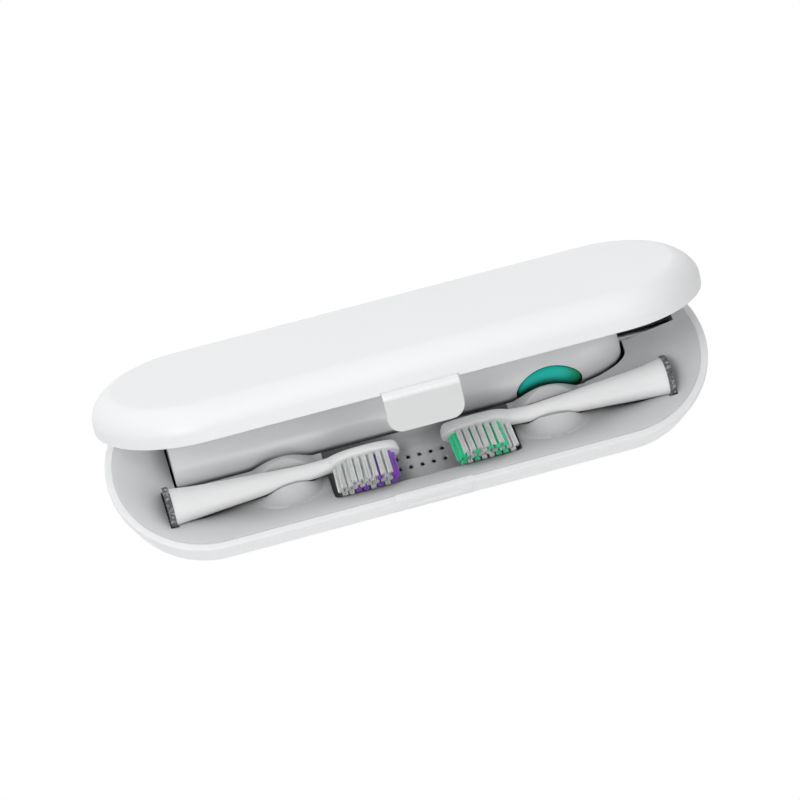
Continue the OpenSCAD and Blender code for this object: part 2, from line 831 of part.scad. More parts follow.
// Battery cell
module battery() {
  color("steelblue") at_handle() translate([0, battery_back, 0])
    rod(battery_radius, battery_place, battery_length);
}

// Motor, flat towards the board
module motor() {
  flat = board_place - board_thickness - motor_gap;
  color("silver") at_handle() difference() {
    rod(motor_radius, motor_place, motor_length);
    rod(shaft_radius + run_gap, shaft_start - seat_gap, motor_length);
    translate([motor_place - cut, -flat - motor_radius, -motor_radius])
      cube([motor_length + cut * 2, motor_radius, motor_radius * 2]);
  }
}

// Bush of the drive shaft
module shaft_bearing() {
  color("goldenrod") at_handle() difference() {
    rod(shaft_radius + run_gap + bush_wall, bush_place + seat_gap, bush_length);
    rod(shaft_radius + run_gap, bush_place - cut, bush_length + cut * 2);
  }
}

// Seal where the shaft leaves the handle
module shaft_seal() {
  start = handle_length - handle_wall - seal_set - seal_thickness;
  color("dimgray") at_handle() difference() {
    union() {
      rod(shaft_radius + seal_wall - run_gap, start, handle_length - start);
      rod(shaft_radius + seal_wall + seal_flange, start, seal_thickness);
    }
    rod(shaft_radius + run_gap, start - cut, handle_length);
  }
}

// Control board
module circuit_board() {
  color("darkgreen") at_handle() translate([button_place - board_length, -board_place, -board_width / 2])
    cube([board_length + board_end, board_thickness, board_width]);
}

// Switch under the button
module button_switch() {
  inner = membrane_outer - membrane_thickness;
  height = sqrt(pow(inner, 2) - pow(switch_size / 2, 2)) - switch_gap - board_place;
  color("black") at_handle()
    translate([button_place - switch_size / 2, -board_place - height, -switch_size / 2])
      cube([switch_size, height, switch_size]);
}

// Membrane between the button and the switch
module button_membrane() {
  color("dimgray") at_handle() intersection() {
    difference() {
      turned(handle_side(-handle_wall - seat_gap));
      turned(handle_side(-handle_wall - seat_gap - membrane_thickness));
    }
    button_prism(membrane_edge);
  }
}

// Induction coil above the base
module charging_coil() {
  start = cap_length + switch_gap;
  color("peru") at_handle() difference() {
    union() {
      rod(socket_radius + coil_width, start, coil_flange);
      rod(socket_radius + coil_width, start + coil_length - coil_flange, coil_flange);
      rod(socket_radius + coil_width - coil_flange, start, coil_length);
    }
    rod(socket_radius, start - cut, coil_length + cut * 2);
  }
}

// Green power button
module power_button() {
  color([0, 0.65, 0.59]) at_handle() intersection() {
    button_prism(0);
    difference() {
      rod(handle_radius + button_rise, 0, handle_length);
      rod(membrane_outer + press_space, -cut, handle_length + cut * 2);
    }
  }
}

// Drive shaft with the flat that a head grips
module drive_shaft() {
  tip = handle_length + shaft_reach;
  color("silver") at_handle() difference() {
    rod(shaft_radius, shaft_start, tip - shaft_start);
    translate([tip - shaft_flat_length, -shaft_radius - cut, -shaft_radius - cut])
      cube([shaft_flat_length + cut, cut + shaft_flat, (shaft_radius + cut) * 2]);
  }
}

// Outline of the plate set in by o, extruded from a depth behind its face over a thickness
module plate_slice(o, depth, thickness) {
  translate([plate_middle, depth + thickness - plate_front, 0]) rotate([90, 0, 0]) linear_extrude(thickness)
    rounded_rectangle(plate_length - o * 2, plate_width - o * 2, plate_corner - o);
}

// White body of a head
module head_body() {
  neck_end = ring_width + taper_length;
  color("white") difference() {
    union() {
      turned(concat([[0, ring_width]], taper(0), [[0, neck_end]]));
      intersection() {
        plate_slice(0, 0, plate_thickness);
        translate([0, plate_thickness - plate_front - plate_round, 0])
          rod(plate_round, neck_end - cut, plate_length + cut * 2);
      }
      hull() {
        rod(neck_radius, neck_end - neck_radius * 2, neck_radius, $fn = 32);
        translate([neck_end + plate_corner, backing_depth + blend_thickness - plate_front, 0])
          rotate([90, 0, 0]) cylinder(r = blend_radius, h = blend_thickness, $fn = 32);
      }
    }
    turned([[0, ring_width - cut],
      [base_radius - head_wall, ring_width - cut],
      [base_radius - head_wall, ring_width],
      [sleeve_radius + head_wall, hollow_depth],
      [0, hollow_depth]]);
    rod(sleeve_radius + seat_gap, hollow_depth - cut, sleeve_end + seat_gap - hollow_depth + cut);
    plate_slice(backing_inset, -cut, backing_depth + cut);
  }
}

// Dark ring at a head's base
module head_ring() {
  color([0.3, 0.3, 0.32]) difference() {
    rod(ring_radius, 0, ring_width);
    rod(base_radius - head_wall, -cut, ring_width + cut * 2);
  }
}

// Sleeve that grips the shaft
module head_socket() {
  color("gainsboro") difference() {
    rod(sleeve_radius, sleeve_place, sleeve_length);
    rod(shaft_radius + run_gap, sleeve_place - cut, sleeve_length + cut * 2);
  }
}

// Place of a tuft along and across a head
function tuft_x(map, i, j) = plate_middle + (i - (len(map[0]) - j % 2) / 2) * tuft_pitch;
function tuft_z(map, j) = (j - (len(map) - 1) / 2) * row_pitch;

// Tufts of one colour
module tufts(map, colour) {
  for (j = [0:len(map) - 1], i = [0:len(map[j]) - 1])
    if (map[j][i] == colour)
      for (k = [0:tuft_strands - 1]) let (a = 360 * k / tuft_strands)
        translate([tuft_x(map, i, j) + strand_spread * cos(a), strand_root - plate_front,
          tuft_z(map, j) + strand_spread * sin(a)])
          rotate([90, 0, 0]) linear_extrude(bristle_length + strand_root) circle(strand_radius, $fn = 3);
}

// Fields of the backing that belong to the tufts of one colour, set out by o
module fields(map, colour, o) {
  for (j = [0:len(map) - 1], i = [0:len(map[j]) - 1])
    if (map[j][i] == colour) {
      past_tip = i == len(map[j]) - 1 ? tuft_pitch : 0;
      deep = backing_depth + (o > 0 ? cut : 0);
      translate([tuft_x(map, i, j) + past_tip / 2, backing_depth / 2 - plate_front, tuft_z(map, j)])
        cube([tuft_pitch + past_tip + o * 2, deep, row_pitch + o * 2], center = true);
    }
}

// White bristles on their slice of backing, less the fields of the other colour
module white_bristles(map, other) {
  color("white") {
    difference() {
      plate_slice(backing_inset + run_gap, 0, backing_depth);
      fields(map, other, run_gap);
    }
    tufts(map, "w");
  }
}

// Coloured bristles on their fields of the backing
module coloured_bristles(map, colour, tint) {
  color(tint) {
    intersection() {
      plate_slice(backing_inset + run_gap, 0, backing_depth);
      fields(map, colour, 0);
    }
    tufts(map, colour);
  }
}

module left_head_body() { at_left_head() head_body(); }
module left_head_ring() { at_left_head() head_ring(); }
module left_head_socket() { at_left_head() head_socket(); }
module left_white_bristles() { at_left_head() white_bristles(left_tufts, "v"); }
module left_violet_bristles() { at_left_head() coloured_bristles(left_tufts, "v", "mediumpurple"); }
module right_head_body() { at_right_head() head_body(); }
module right_head_ring() { at_right_head() head_ring(); }
module right_head_socket() { at_right_head() head_socket(); }
module right_white_bristles() { at_right_head() white_bristles(right_tufts, "g"); }
module right_green_bristles() { at_right_head() coloured_bristles(right_tufts, "g", "mediumseagreen"); }

case_shell();
inner_tray();
hinge_pins();
lid_shell();
latch_pin();
latch_tab();
handle_shell();
base_cap();
base_seal();
chassis();
battery();
motor();
shaft_bearing();
shaft_seal();
circuit_board();
button_switch();
button_membrane();
charging_coil();
power_button();
drive_shaft();
left_head_body();
left_head_ring();
left_head_socket();
left_white_bristles();
left_violet_bristles();
right_head_body();
right_head_ring();
right_head_socket();
right_white_bristles();
right_green_bristles();
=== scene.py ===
"""Looks of a toothbrush travel case: the open case, its tray, the handle and two brush heads.

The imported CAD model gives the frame. This script replaces the visible shells with smooth moulded
surfaces worked out with numpy, dresses every node with a procedural finish, and sets the floor,
the lamps and the camera. All lengths are in millimetres until a mesh is made.
"""

import logging
import math
from dataclasses import dataclass, field
from enum import Enum
from functools import cached_property
from typing import Any, Callable, Sequence

import bmesh
import bpy
import numpy as np
from mathutils import Matrix, Vector


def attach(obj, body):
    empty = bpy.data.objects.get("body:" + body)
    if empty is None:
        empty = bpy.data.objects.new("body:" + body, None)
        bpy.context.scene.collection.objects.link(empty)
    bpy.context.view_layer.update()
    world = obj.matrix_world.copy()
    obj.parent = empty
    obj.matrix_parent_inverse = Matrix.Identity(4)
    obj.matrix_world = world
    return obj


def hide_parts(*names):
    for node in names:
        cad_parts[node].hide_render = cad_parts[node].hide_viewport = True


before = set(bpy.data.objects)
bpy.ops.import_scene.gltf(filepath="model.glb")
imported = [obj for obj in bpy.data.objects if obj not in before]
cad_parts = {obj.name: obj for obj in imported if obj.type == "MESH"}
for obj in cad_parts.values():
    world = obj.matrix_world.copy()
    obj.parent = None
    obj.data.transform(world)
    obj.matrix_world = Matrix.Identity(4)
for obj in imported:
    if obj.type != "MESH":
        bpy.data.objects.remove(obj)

log = logging.getLogger("travel_case")
MM = 0.001
Array = np.ndarray

# Plan of the case: half the straight side, and half the width
SPINE, HALF_WIDTH = 74.75, 35.25

# The handle: its axis at Y and Z, its radius, the length of its shoulder and the radius of its end
HANDLE_AXIS, HANDLE_RADIUS, HANDLE_SHOULDER, HANDLE_END = (9.6, 17.5), 13.5, 22.7, 5.2

# The brush heads: their bases along X, their axis at Y and Z, the radius of the ring and of the base
HEAD_BASES, HEAD_AXIS, RING_RADIUS, BASE_RADIUS = (-92.1, 93.0), (-13.9, 25.3), 7.9, 7.1

# Taper of a brush head from its base to its neck: shares of the length, and shares of the fall in radius
TAPER_PLACES = (0, 0.135, 0.31, 0.49, 0.67, 0.85, 1.0)
TAPER_FALLS = (0, 0.275, 0.47, 0.64, 0.8, 0.94, 1.0)


# Colour, nodes and finishes


def linear(code: str) -> tuple[float, float, float, float]:
    """Turns an sRGB hex code into a linear colour.

    Args:
        code: six hex digits, such as "f4f5f6".

    Returns:
        Red, green, blue and an alpha of one. Each channel c becomes ((c + 0.055) / 1.055) to the
        power 2.4, or c / 12.92 where c is at most 0.04045.
    """
    c = np.array([int(code[i:i + 2], 16) for i in (0, 2, 4)], float) / 255.0
    low, high = c / 12.92, ((c + 0.055) / 1.055) ** 2.4
    r, g, b = np.where(c <= 0.04045, low, high)
    return float(r), float(g), float(b), 1.0


def add_node(tree: bpy.types.NodeTree, kind: str, settings: dict[Any, Any] | None = None,
             links: dict[Any, Any] | None = None) -> bpy.types.Node:
    """Adds a node, sets its values and joins its inputs.

    Args:
        tree: the node tree that the node goes into.
        kind: the node's type name.
        settings: values by name: a property of the node, or else one of its inputs.
        links: output sockets by the name or number of the input they feed.

    Returns:
        The new node.
    """
    node = tree.nodes.new(kind)
    for key, value in (settings or {}).items():
        if isinstance(key, str) and hasattr(node, key):
            setattr(node, key, value)
        else:
            node.inputs[key].default_value = value
    for key, socket in (links or {}).items():
        tree.links.new(socket, node.inputs[key])
    return node


class Recipe:
    """A material while it is being made."""

    def __init__(self, name: str) -> None:
        """Starts an empty material of the given name."""
        self.material = bpy.data.materials.new(name)
        self.material.use_nodes = True
        self.tree = self.material.node_tree
        self.tree.nodes.clear()

    @cached_property
    def place(self) -> Any:
        """The piece's own coordinates."""
        return self.add("TexCoord").outputs["Object"]

    def add(self, kind: str, settings: dict[Any, Any] | None = None, links: dict[Any, Any] | None = None
            ) -> bpy.types.Node:
        """Adds a shader node: its kind without the prefix, its settings and its links."""
        return add_node(self.tree, "ShaderNode" + kind, settings, links)

    def noise(self, size_mm: float, detail: float, vector: Any = None) -> Any:
        """Noise of a size in millimetres, over the piece's coordinates unless a vector is given."""
        settings = {"Scale": 1.0 / (size_mm * MM), "Detail": detail}
        return self.add("TexNoise", settings, {"Vector": vector or self.place}).outputs["Fac"]

    def ramp(self, value: Any, start: tuple[float, float], end: tuple[float, float] = (0.0, 1.0),
             kind: str = "LINEAR") -> Any:
        """Carries a value from the span start to the span end.

        Args:
            value: the output socket that is read.
            start: its lowest and highest reading.
            end: the results at those readings.
            kind: the node's way of passing from one to the other.

        Returns:
            The output socket with the result.
        """
        settings = {"From Min": start[0], "From Max": start[1], "To Min": end[0], "To Max": end[1]}
        node = self.add("MapRange", {"interpolation_type": kind, **settings}, {"Value": value})
        return node.outputs["Result"]

    def blend(self, share: Any, first: Any, second: str) -> Any:
        """Mixes a first colour, a hex code or a socket, with a second one by a share."""
        settings, links = {"data_type": "RGBA", 7: linear(second)}, {0: share}
        if isinstance(first, str):
            settings[6] = linear(first)
        else:
            links[6] = first
        return self.add("Mix", settings, links).outputs[2]

    def darkened(self, colour: Any, dark: str, most: float, reach_mm: float,
                 span: tuple[float, float] = (0.08, 0.62)) -> Any:
        """Darkens a colour in narrow joints, where little light gets in.

        Args:
            colour: the output socket with the colour in the open.
            dark: the painted shade colour deep in a joint.
            most: how much of the dark colour shows there, from 0 to 1.
            reach_mm: width of a joint that still counts as narrow.
            span: shares of open sky at which the colour is darkest and at which it is untouched.

        Returns:
            The output socket with the darkened colour.
        """
        # Painted shade: ambient occlusion turns the colour towards the dark colour
        sky = self.add("AmbientOcclusion", {"samples": 8, "Distance": reach_mm * MM}).outputs["AO"]
        return self.blend(self.ramp(sky, span, (most, 0.0), "SMOOTHSTEP"), colour, dark)

    def bump(self, height: Any, strength: float, depth_mm: float) -> Any:
        """Relief of a depth in millimetres."""
        return self.add("Bump", {"Strength": strength, "Distance": depth_mm * MM},
                        {"Height": height}).outputs["Normal"]

    def done(self, settings: dict[Any, Any], links: dict[Any, Any]) -> bpy.types.Material:
        """Ends the tree with a principled shader and returns the material."""
        shader = self.add("BsdfPrincipled", settings, links)
        self.add("OutputMaterial", links={"Surface": shader.outputs[0]})
        return self.material


@dataclass(frozen=True)
class MouldedPlastic:
    """Injection-moulded plastic: ABS, polypropylene or POM.

    The tool leaves a fine satin grain with faint flow clouding, so the sheen is broad and even.
    """

    name: str
    colour: str
    cloud: str
    roughness: float = 0.4
    sheen_spread: float = 0.05
    specular: float = 0.5
    ior: float = 1.49
    grain_mm: float = 0.5
    grain_depth_mm: float = 0.01
    grain_strength: float = 0.35
    cloud_mm: float = 35.0
    subsurface: float = 0.0
    depth_m: float = 0.002
    # Painted shade: the colour turns to a dark shade colour in narrow joints and, more weakly, in wider
    # hollows
    crevice_shade: float = 0.0
    crevice_shade_mm: float = 4.0
    crevice_shade_colour: str = "1c1d1f"
    hollow: float = 0.0
    hollow_shade_mm: float = 16.0
    hollow_shade_colour: str = "3a3b3d"
    hollow_shade_span: tuple[float, float] = (0.25, 0.95)
    # Painted highlight: a lighter colour laid over the base colour along a direction, between two distances
    painted_highlight_colour: str = ""
    painted_highlight_way: tuple[float, float, float] = (0.0, 0.0, 1.0)
    painted_highlight_mm: tuple[float, float] = (0.0, 1.0)

    def build(self) -> bpy.types.Material:
        """Makes the material: base colour clouded by large noise, roughness and bump by fine noise.

        The colour also takes painted shade in joints narrower than the crevice reach and, more weakly, in
        hollows about the hollow reach wide. A painted highlight colour takes over along its direction between
        the two distances.
        """
        make = Recipe(self.name)
        colour = make.blend(make.noise(self.cloud_mm, 2.0), self.colour, self.cloud)
        # Painted highlight along a direction, where one is set
        if self.painted_highlight_colour:
            along = make.add("VectorMath", {"operation": "DOT_PRODUCT", 1: self.painted_highlight_way}, {0: make.place})
            low, high = (v * MM for v in self.painted_highlight_mm)
            colour = make.blend(make.ramp(along.outputs["Value"], (low, high)), colour, self.painted_highlight_colour)
        # Painted shade in hollows and in narrow joints, where little sky is seen
        if self.hollow:
            colour = make.darkened(colour, self.hollow_shade_colour, self.hollow, self.hollow_shade_mm, self.hollow_shade_span)
        if self.crevice_shade:
            colour = make.darkened(colour, self.crevice_shade_colour, self.crevice_shade, self.crevice_shade_mm)
        grain = make.noise(self.grain_mm, 3.0)
        spread = (self.roughness - self.sheen_spread, self.roughness + self.sheen_spread)
        return make.done({"IOR": self.ior, "Specular IOR Level": self.specular,
                          "Subsurface Weight": self.subsurface, "Subsurface Scale": self.depth_m},
                         {"Base Color": colour, "Roughness": make.ramp(grain, (0.0, 1.0), spread),
                          "Normal": make.bump(grain, self.grain_strength, self.grain_depth_mm)})


@dataclass(frozen=True)
class TintedButton:
    """Soft-touch silicone rubber, dyed teal, whose colour turns green towards the shaft's end and takes
    painted shade in its joint.
    """

    name: str
    colour: str
    far_colour: str
    span_mm: tuple[float, float]
    # Painted shade: near the joint the colour turns to a dark green shade colour
    edge_shade_colour: str = "02301a"
    edge_shade_mm: float = 6.0
    edge_shade_span: tuple[float, float] = (0.35, 0.95)
    roughness: float = 0.42
    ior: float = 1.43
    grain_mm: float = 0.35
    grain_depth_mm: float = 0.02

    def build(self) -> bpy.types.Material:
        """Makes the material: the colour runs along X and takes painted shade in the joint, under a fine
        grain.
        """
        make = Recipe(self.name)
        split = make.add("SeparateXYZ", links={"Vector": make.place})
        low, high = (v * MM for v in self.span_mm)
        colour = make.blend(make.ramp(split.outputs["X"], (low, high), kind="SMOOTHSTEP"), self.colour,
                            self.far_colour)
        # Painted shade: dark green where the button meets the handle and the mounds
        colour = make.darkened(colour, self.edge_shade_colour, 1.0, self.edge_shade_mm, self.edge_shade_span)
        return make.done({"Roughness": self.roughness, "IOR": self.ior},
                         {"Base Color": colour,
                          "Normal": make.bump(make.noise(self.grain_mm, 3.0), 0.3, self.grain_depth_mm)})


@dataclass(frozen=True)
class Nylon:
    """Extruded nylon filament: slightly see-through, with a sheen along each strand."""

    name: str
    colour: str
    shade: str
    roughness: float = 0.35
    clearness: float = 0.15
    depth_m: float = 0.0006
    mottle_mm: float = 0.9
    ior: float = 1.53

    def build(self) -> bpy.types.Material:
        """Makes the material: a mottle of two tints along the strands, and some light let through."""
        make = Recipe(self.name)
        return make.done({"Roughness": self.roughness, "IOR": self.ior, "Subsurface Weight": self.clearness,
                          "Subsurface Scale": self.depth_m},
                         {"Base Color": make.blend(make.noise(self.mottle_mm, 2.0), self.colour, self.shade)})


@dataclass(frozen=True)
class Metal:
    """Bare or plated metal: ground steel, turned brass or drawn copper, with fine tool marks."""

    name: str
    colour: str
    roughness: float = 0.3
    spread: float = 0.1
    mark_mm: float = 0.25
    stretch: float = 0.05

    def build(self) -> bpy.types.Material:
        """Makes the material: the marks are noise stretched round the X axis, which the tool turned about."""
        make = Recipe(self.name)
        drawn = make.add("Mapping", {"Scale": (1.0, self.stretch, self.stretch)}, {"Vector": make.place})
        marks = make.noise(self.mark_mm, 4.0, drawn.outputs["Vector"])
        ends = (self.roughness - self.spread, self.roughness + self.spread)
        return make.done({"Base Color": linear(self.colour), "Metallic": 1.0},
                         {"Roughness": make.ramp(marks, (0.0, 1.0), ends)})


@dataclass(frozen=True)
class SmokedRing:
    """Smoke-tinted clear plastic over a toothed core: dark, with painted glints where the teeth turn."""

    name: str
    colour: str
    # Painted glints: a light colour mixed into the base colour in flecks
    painted_glint: str
    tooth_mm: float = 1.3
    painted_glint_span: tuple[float, float] = (0.52, 0.68)
    roughness: float = 0.22
    ior: float = 1.5
    coat: float = 0.5

    def build(self) -> bpy.types.Material:
        """Makes the material: painted glints, light flecks where a fine noise passes a threshold over dark
        plastic.
        """
        make = Recipe(self.name)
        share = make.ramp(make.noise(self.tooth_mm, 2.0), self.painted_glint_span)
        return make.done({"Roughness": self.roughness, "IOR": self.ior, "Coat Weight": self.coat},
                         {"Base Color": make.blend(share, self.colour, self.painted_glint)})


class Finish(Enum):
    """The finishes of the object's pieces."""

    # Faint painted shade in the case's joints
    CASE = MouldedPlastic("satin_white_polypropylene", "f3f4f5", "eff0f1", roughness=0.42, cloud_mm=60.0,
                          crevice_shade=0.15)
    # Painted shade: the flap is a darker copy of the case's white, lifted back to it along the ridges as a
    # painted highlight
    LATCH = MouldedPlastic("satin_white_flap_painted_shade", "dedfdf", "dbdcdc", roughness=0.45, painted_highlight_colour="f3f4f5",
                           painted_highlight_way=(0.0, 0.712, 0.702), painted_highlight_mm=(36.08, 36.88))
    # Strong painted shade in the tray's joints and in its hollows under the handle and the heads
    TRAY = MouldedPlastic("satin_grey_tray", "d7d8d9", "d2d3d4", roughness=0.5, grain_mm=0.7, crevice_shade=0.95,
                          hollow=0.72)
    # Painted shade in the joints along the handle
    HANDLE = MouldedPlastic("gloss_white_abs", "fafafb", "f6f7f8", roughness=0.25, grain_depth_mm=0.004,
                            crevice_shade=0.95)
    # Faint painted shade in hollows of the heads
    HEAD = MouldedPlastic("gloss_white_pom", "fbfbfb", "f7f7f8", roughness=0.3, grain_depth_mm=0.004,
                          subsurface=0.05, hollow=0.1)
    CARRIER = MouldedPlastic("grey_carrier_abs", "bfc2c6", "b5b8bd", roughness=0.55)
    SLEEVE = MouldedPlastic("pale_sleeve_pom", "d5d7d9", "cccfd1", roughness=0.4)
    RUBBER = MouldedPlastic("black_seal_rubber", "1f2022", "27282a", roughness=0.7, ior=1.45)
    SWITCH = MouldedPlastic("black_switch_nylon", "151618", "1c1d20", roughness=0.5)
    BOARD = MouldedPlastic("green_board_laminate", "14532e", "1b6639", roughness=0.35, cloud_mm=4.0)
    CELL = MouldedPlastic("blue_cell_wrap", "2f5488", "37609a", roughness=0.3, cloud_mm=12.0)
    # Teal button with painted shade in its joint
    BUTTON = TintedButton("teal_soft_button", "00d2c2", "1a9a58", (55.0, 64.0))
    WHITE_NYLON = Nylon("white_nylon", "f4f4f3", "e2e3e3")
    VIOLET_NYLON = Nylon("violet_nylon", "af73ec", "9560d0")
    GREEN_NYLON = Nylon("green_nylon", "5cffc9", "48e8ac")
    # Dark ring with painted glints in its colour
    RING = SmokedRing("smoked_toothed_ring", "56585a", "b4b6b8")
    STEEL = Metal("ground_steel", "c3c5c8", 0.3)
    CAN = Metal("drawn_steel_can", "b2b4b6", 0.38)
    BRASS = Metal("turned_brass", "c9a25a", 0.32)
    COPPER = Metal("enamelled_copper", "b8693f", 0.35, mark_mm=0.3)


class Wardrobe:
    """Builds each finish once and hands it out."""

    def __init__(self) -> None:
        """Starts with nothing built."""
        self._built: dict[Finish, bpy.types.Material] = {}

    def get(self, finish: Finish) -> bpy.types.Material:
        """Returns the finish's material, built at its first use."""
        if finish not in self._built:
            self._built[finish] = finish.value.build()
        return self._built[finish]

    def dress(self, piece: bpy.types.Object, finish: Finish) -> None:
        """Puts one finish on a whole piece."""
        piece.data.materials.clear()
        piece.data.materials.append(self.get(finish))


# Meshes from numpy grids


def grid_faces(rows: int, columns: int, around: bool, closed: bool, start: int = 0) -> Array:
    """Quads of a grid of points.

    Args:
        rows: number of rows.
        columns: number of points in a row.
        around: whether the last row joins the first.
        closed: whether the last column joins the first.
        start: number of the grid's first point.

    Returns:
        Point numbers, four to a face: (i, j), (i + 1, j), (i + 1, j + 1), (i, j + 1).
    """
    i = np.arange(rows if around else rows - 1)
    j = np.arange(columns if closed else columns - 1)
    a, b = np.meshgrid(i, j, indexing="ij")
    n, m = (a + 1) % rows, (b + 1) % columns
    quads = np.stack([a * columns + b, n * columns + b, n * columns + m, a * columns + m], -1)
    return start + quads.reshape(-1, 4)


def ring_joint(first: int, second: int, count: int) -> Array:
    """Quads between two rings of points: their first point numbers and the number of points."""
    edge = np.arange(count)
    after = (edge + 1) % count
    return np.stack([first + edge, first + after, second + after, second + edge], -1)


def crispen(work: bmesh.types.BMesh, sharp_degrees: float) -> None:
    """Lets faces shade smoothly, but for edges that turn more than sharp_degrees."""
    limit = math.radians(sharp_degrees)
    for edge in work.edges:
        edge.smooth = not (edge.is_manifold and edge.calc_face_angle(0.0) > limit)
    for face in work.faces:
        face.smooth = True


def link(name: str, data: bpy.types.ID) -> bpy.types.Object:
    """Puts a mesh, a lamp or a camera into the scene as an object at the origin."""
    piece = bpy.data.objects.new(name, data)
    bpy.context.scene.collection.objects.link(piece)
    return piece


def make_mesh(name: str, points: Array, faces: Sequence[Any], sharp_degrees: float = 40.0,
              turn_outwards: bool = True) -> bpy.types.Object:
    """Makes a piece from points in millimetres and faces, merged, facing outwards, with no loose points.

    Args:
        name: the piece's name.
        points: points, three to a row.
        faces: point numbers of each face.
        sharp_degrees: edges that turn more than this stay crisp.
        turn_outwards: whether faces are turned outwards; an open sheet keeps its own side.

    Returns:
        The new object, at the origin.
    """
    mesh = bpy.data.meshes.new(name)
    mesh.from_pydata((np.asarray(points, float).reshape(-1, 3) * MM).tolist(), [], [list(f) for f in faces])
    work = bmesh.new()
    work.from_mesh(mesh)
    bmesh.ops.remove_doubles(work, verts=work.verts, dist=0.000004)
    bmesh.ops.dissolve_degenerate(work, edges=work.edges, dist=0.000002)
    if turn_outwards:
        bmesh.ops.recalc_face_normals(work, faces=work.faces)
    bmesh.ops.delete(work, geom=[v for v in work.verts if not v.link_faces], context="VERTS")
    crispen(work, sharp_degrees)
    work.to_mesh(mesh)
    work.free()
    return link(name, mesh)


def turn(points: Array, degrees: float, centre: Sequence[float] = (0.0, 0.0)) -> Array:
    """Turns points about an axis along X.

    Args:
        points: points, three to a row.
        degrees: the angle, from +Y towards +Z.
        centre: the axis's Y and Z.

    Returns:
        The points with y' = y cos a - z sin a and z' = y sin a + z cos a about the centre.
    """
    a = math.radians(degrees)
    out = np.array(points, float).reshape(-1, 3)
    y, z = out[:, 1] - centre[0], out[:, 2] - centre[1]
    out[:, 1] = centre[0] + y * math.cos(a) - z * math.sin(a)
    out[:, 2] = centre[1] + y * math.sin(a) + z * math.cos(a)
    return out


def revolve(profile: Array, around: int = 96) -> tuple[Array, Array]:
    """Body of revolution about the X axis.

    Args:
        profile: distances along X and radii, two to a row.
        around: number of steps round the axis.

    Returns:
        Points (x, r sin t, r cos t) over all angles t, and their faces.
    """
    t = np.linspace(0, 2 * np.pi, around, endpoint=False)[:, None]
    x, r = profile[None, :, 0], profile[None, :, 1]
    points = np.stack([x + 0 * t, r * np.sin(t), r * np.cos(t)], -1)
    return points.reshape(-1, 3), grid_faces(around, len(profile), True, False)


def rounded(points: Sequence[tuple[float, float, float]], steps: int = 5) -> Array:
    """Open outline whose corners are rounded.

    Args:
        points: corner positions and the radius at each, three to a row.
        steps: number of steps of a rounding.

    Returns:
        Outline points. Each rounding is the curve (1 - t)^2 a + 2 t (1 - t) b + t^2 c between the
        points a and c that lie one radius before and after the corner b.
    """
    p = np.array(points, float)
    out = [p[0, :2]]
    for k in range(1, len(p) - 1):
        b, r = p[k, :2], p[k, 2]
        if r <= 0:
            out.append(b)
            continue
        u, v = p[k - 1, :2] - b, p[k + 1, :2] - b
        lu, lv = np.linalg.norm(u), np.linalg.norm(v)
        r = min(r, lu * 0.49, lv * 0.49)
        a, c = b + u / lu * r, b + v / lv * r
        t = np.linspace(0, 1, steps + 1)[:, None]
        out.extend((1 - t) ** 2 * a + 2 * t * (1 - t) * b + t ** 2 * c)
    out.append(p[-1, :2])
    return np.array(out)


@dataclass(frozen=True)
class Stadium:
    """Plan of the case: a straight spine with a half circle at each end."""

    spine: float = SPINE
    fine_at: float = 14.3
    fine_reach: float = 1.5

    def path(self) -> tuple[Array, Array]:
        """Points on the spine and outward directions, counter-clockwise seen from above.

        Returns:
            Base points (x, 0) and unit directions (dx, dy). Along a straight side the base runs and
            the direction stands still; round an end the base stands still and the direction turns.
        """
        near = np.linspace(-self.fine_reach, self.fine_reach, 9)
        x = np.unique(np.round(np.concatenate([
            np.linspace(-self.spine, self.spine, 33), near - self.fine_at, near + self.fine_at]), 4))
        a = np.linspace(-np.pi / 2, np.pi / 2, 49)[1:-1]
        front = np.stack([x, 0 * x, 0 * x, 0 * x - 1], -1)
        right = np.stack([0 * a + self.spine, 0 * a, np.cos(a), np.sin(a)], -1)
        back = np.stack([x[::-1], 0 * x, 0 * x, 0 * x + 1], -1)
        left = np.stack([0 * a - self.spine, 0 * a, -np.cos(a), -np.sin(a)], -1)
        rows = np.concatenate([front, right, back, left])
        return rows[:, :2], rows[:, 2:]

    def sweep(self, profile: Array, inset: Callable[[Array, Array], Array] | None = None
              ) -> tuple[Array, Array]:
        """Carries a profile round the plan.

        Args:
            profile: distances from the spine and heights, two to a row.
            inset: how far a point is drawn in, from its place and height.

        Returns:
            Points base + direction x distance at each height, and their faces.
        """
        base, way = self.path()
        s, z = (profile[None, :, k] + 0 * base[:, :1] for k in (0, 1))

        def at(distance: Array) -> Array:
            """Points at a distance from the spine."""
            x, y = (base[:, None, k] + way[:, None, k] * distance for k in (0, 1))
            return np.stack([x, y, z], -1)

        points = at(s if inset is None else s - inset(at(s), s))
        return points.reshape(-1, 3), grid_faces(len(base), len(profile), True, False)


def cut(piece: bpy.types.Object, tools: Sequence[bpy.types.Object], operation: str = "DIFFERENCE") -> None:
    """Cuts a piece with other pieces, or joins them to it, and removes them.

    Args:
        piece: the piece that stays.
        tools: closed pieces.
        operation: DIFFERENCE or UNION.
    """
    for tool in tools:
        modifier = piece.modifiers.new("cut", "BOOLEAN")
        modifier.operation, modifier.solver, modifier.object = operation, "EXACT", tool
        graph = bpy.context.evaluated_depsgraph_get()
        mesh = bpy.data.meshes.new_from_object(piece.evaluated_get(graph))
        piece.modifiers.clear()
        old, piece.data = piece.data, mesh
        bpy.data.meshes.remove(old)
        bpy.data.objects.remove(tool)


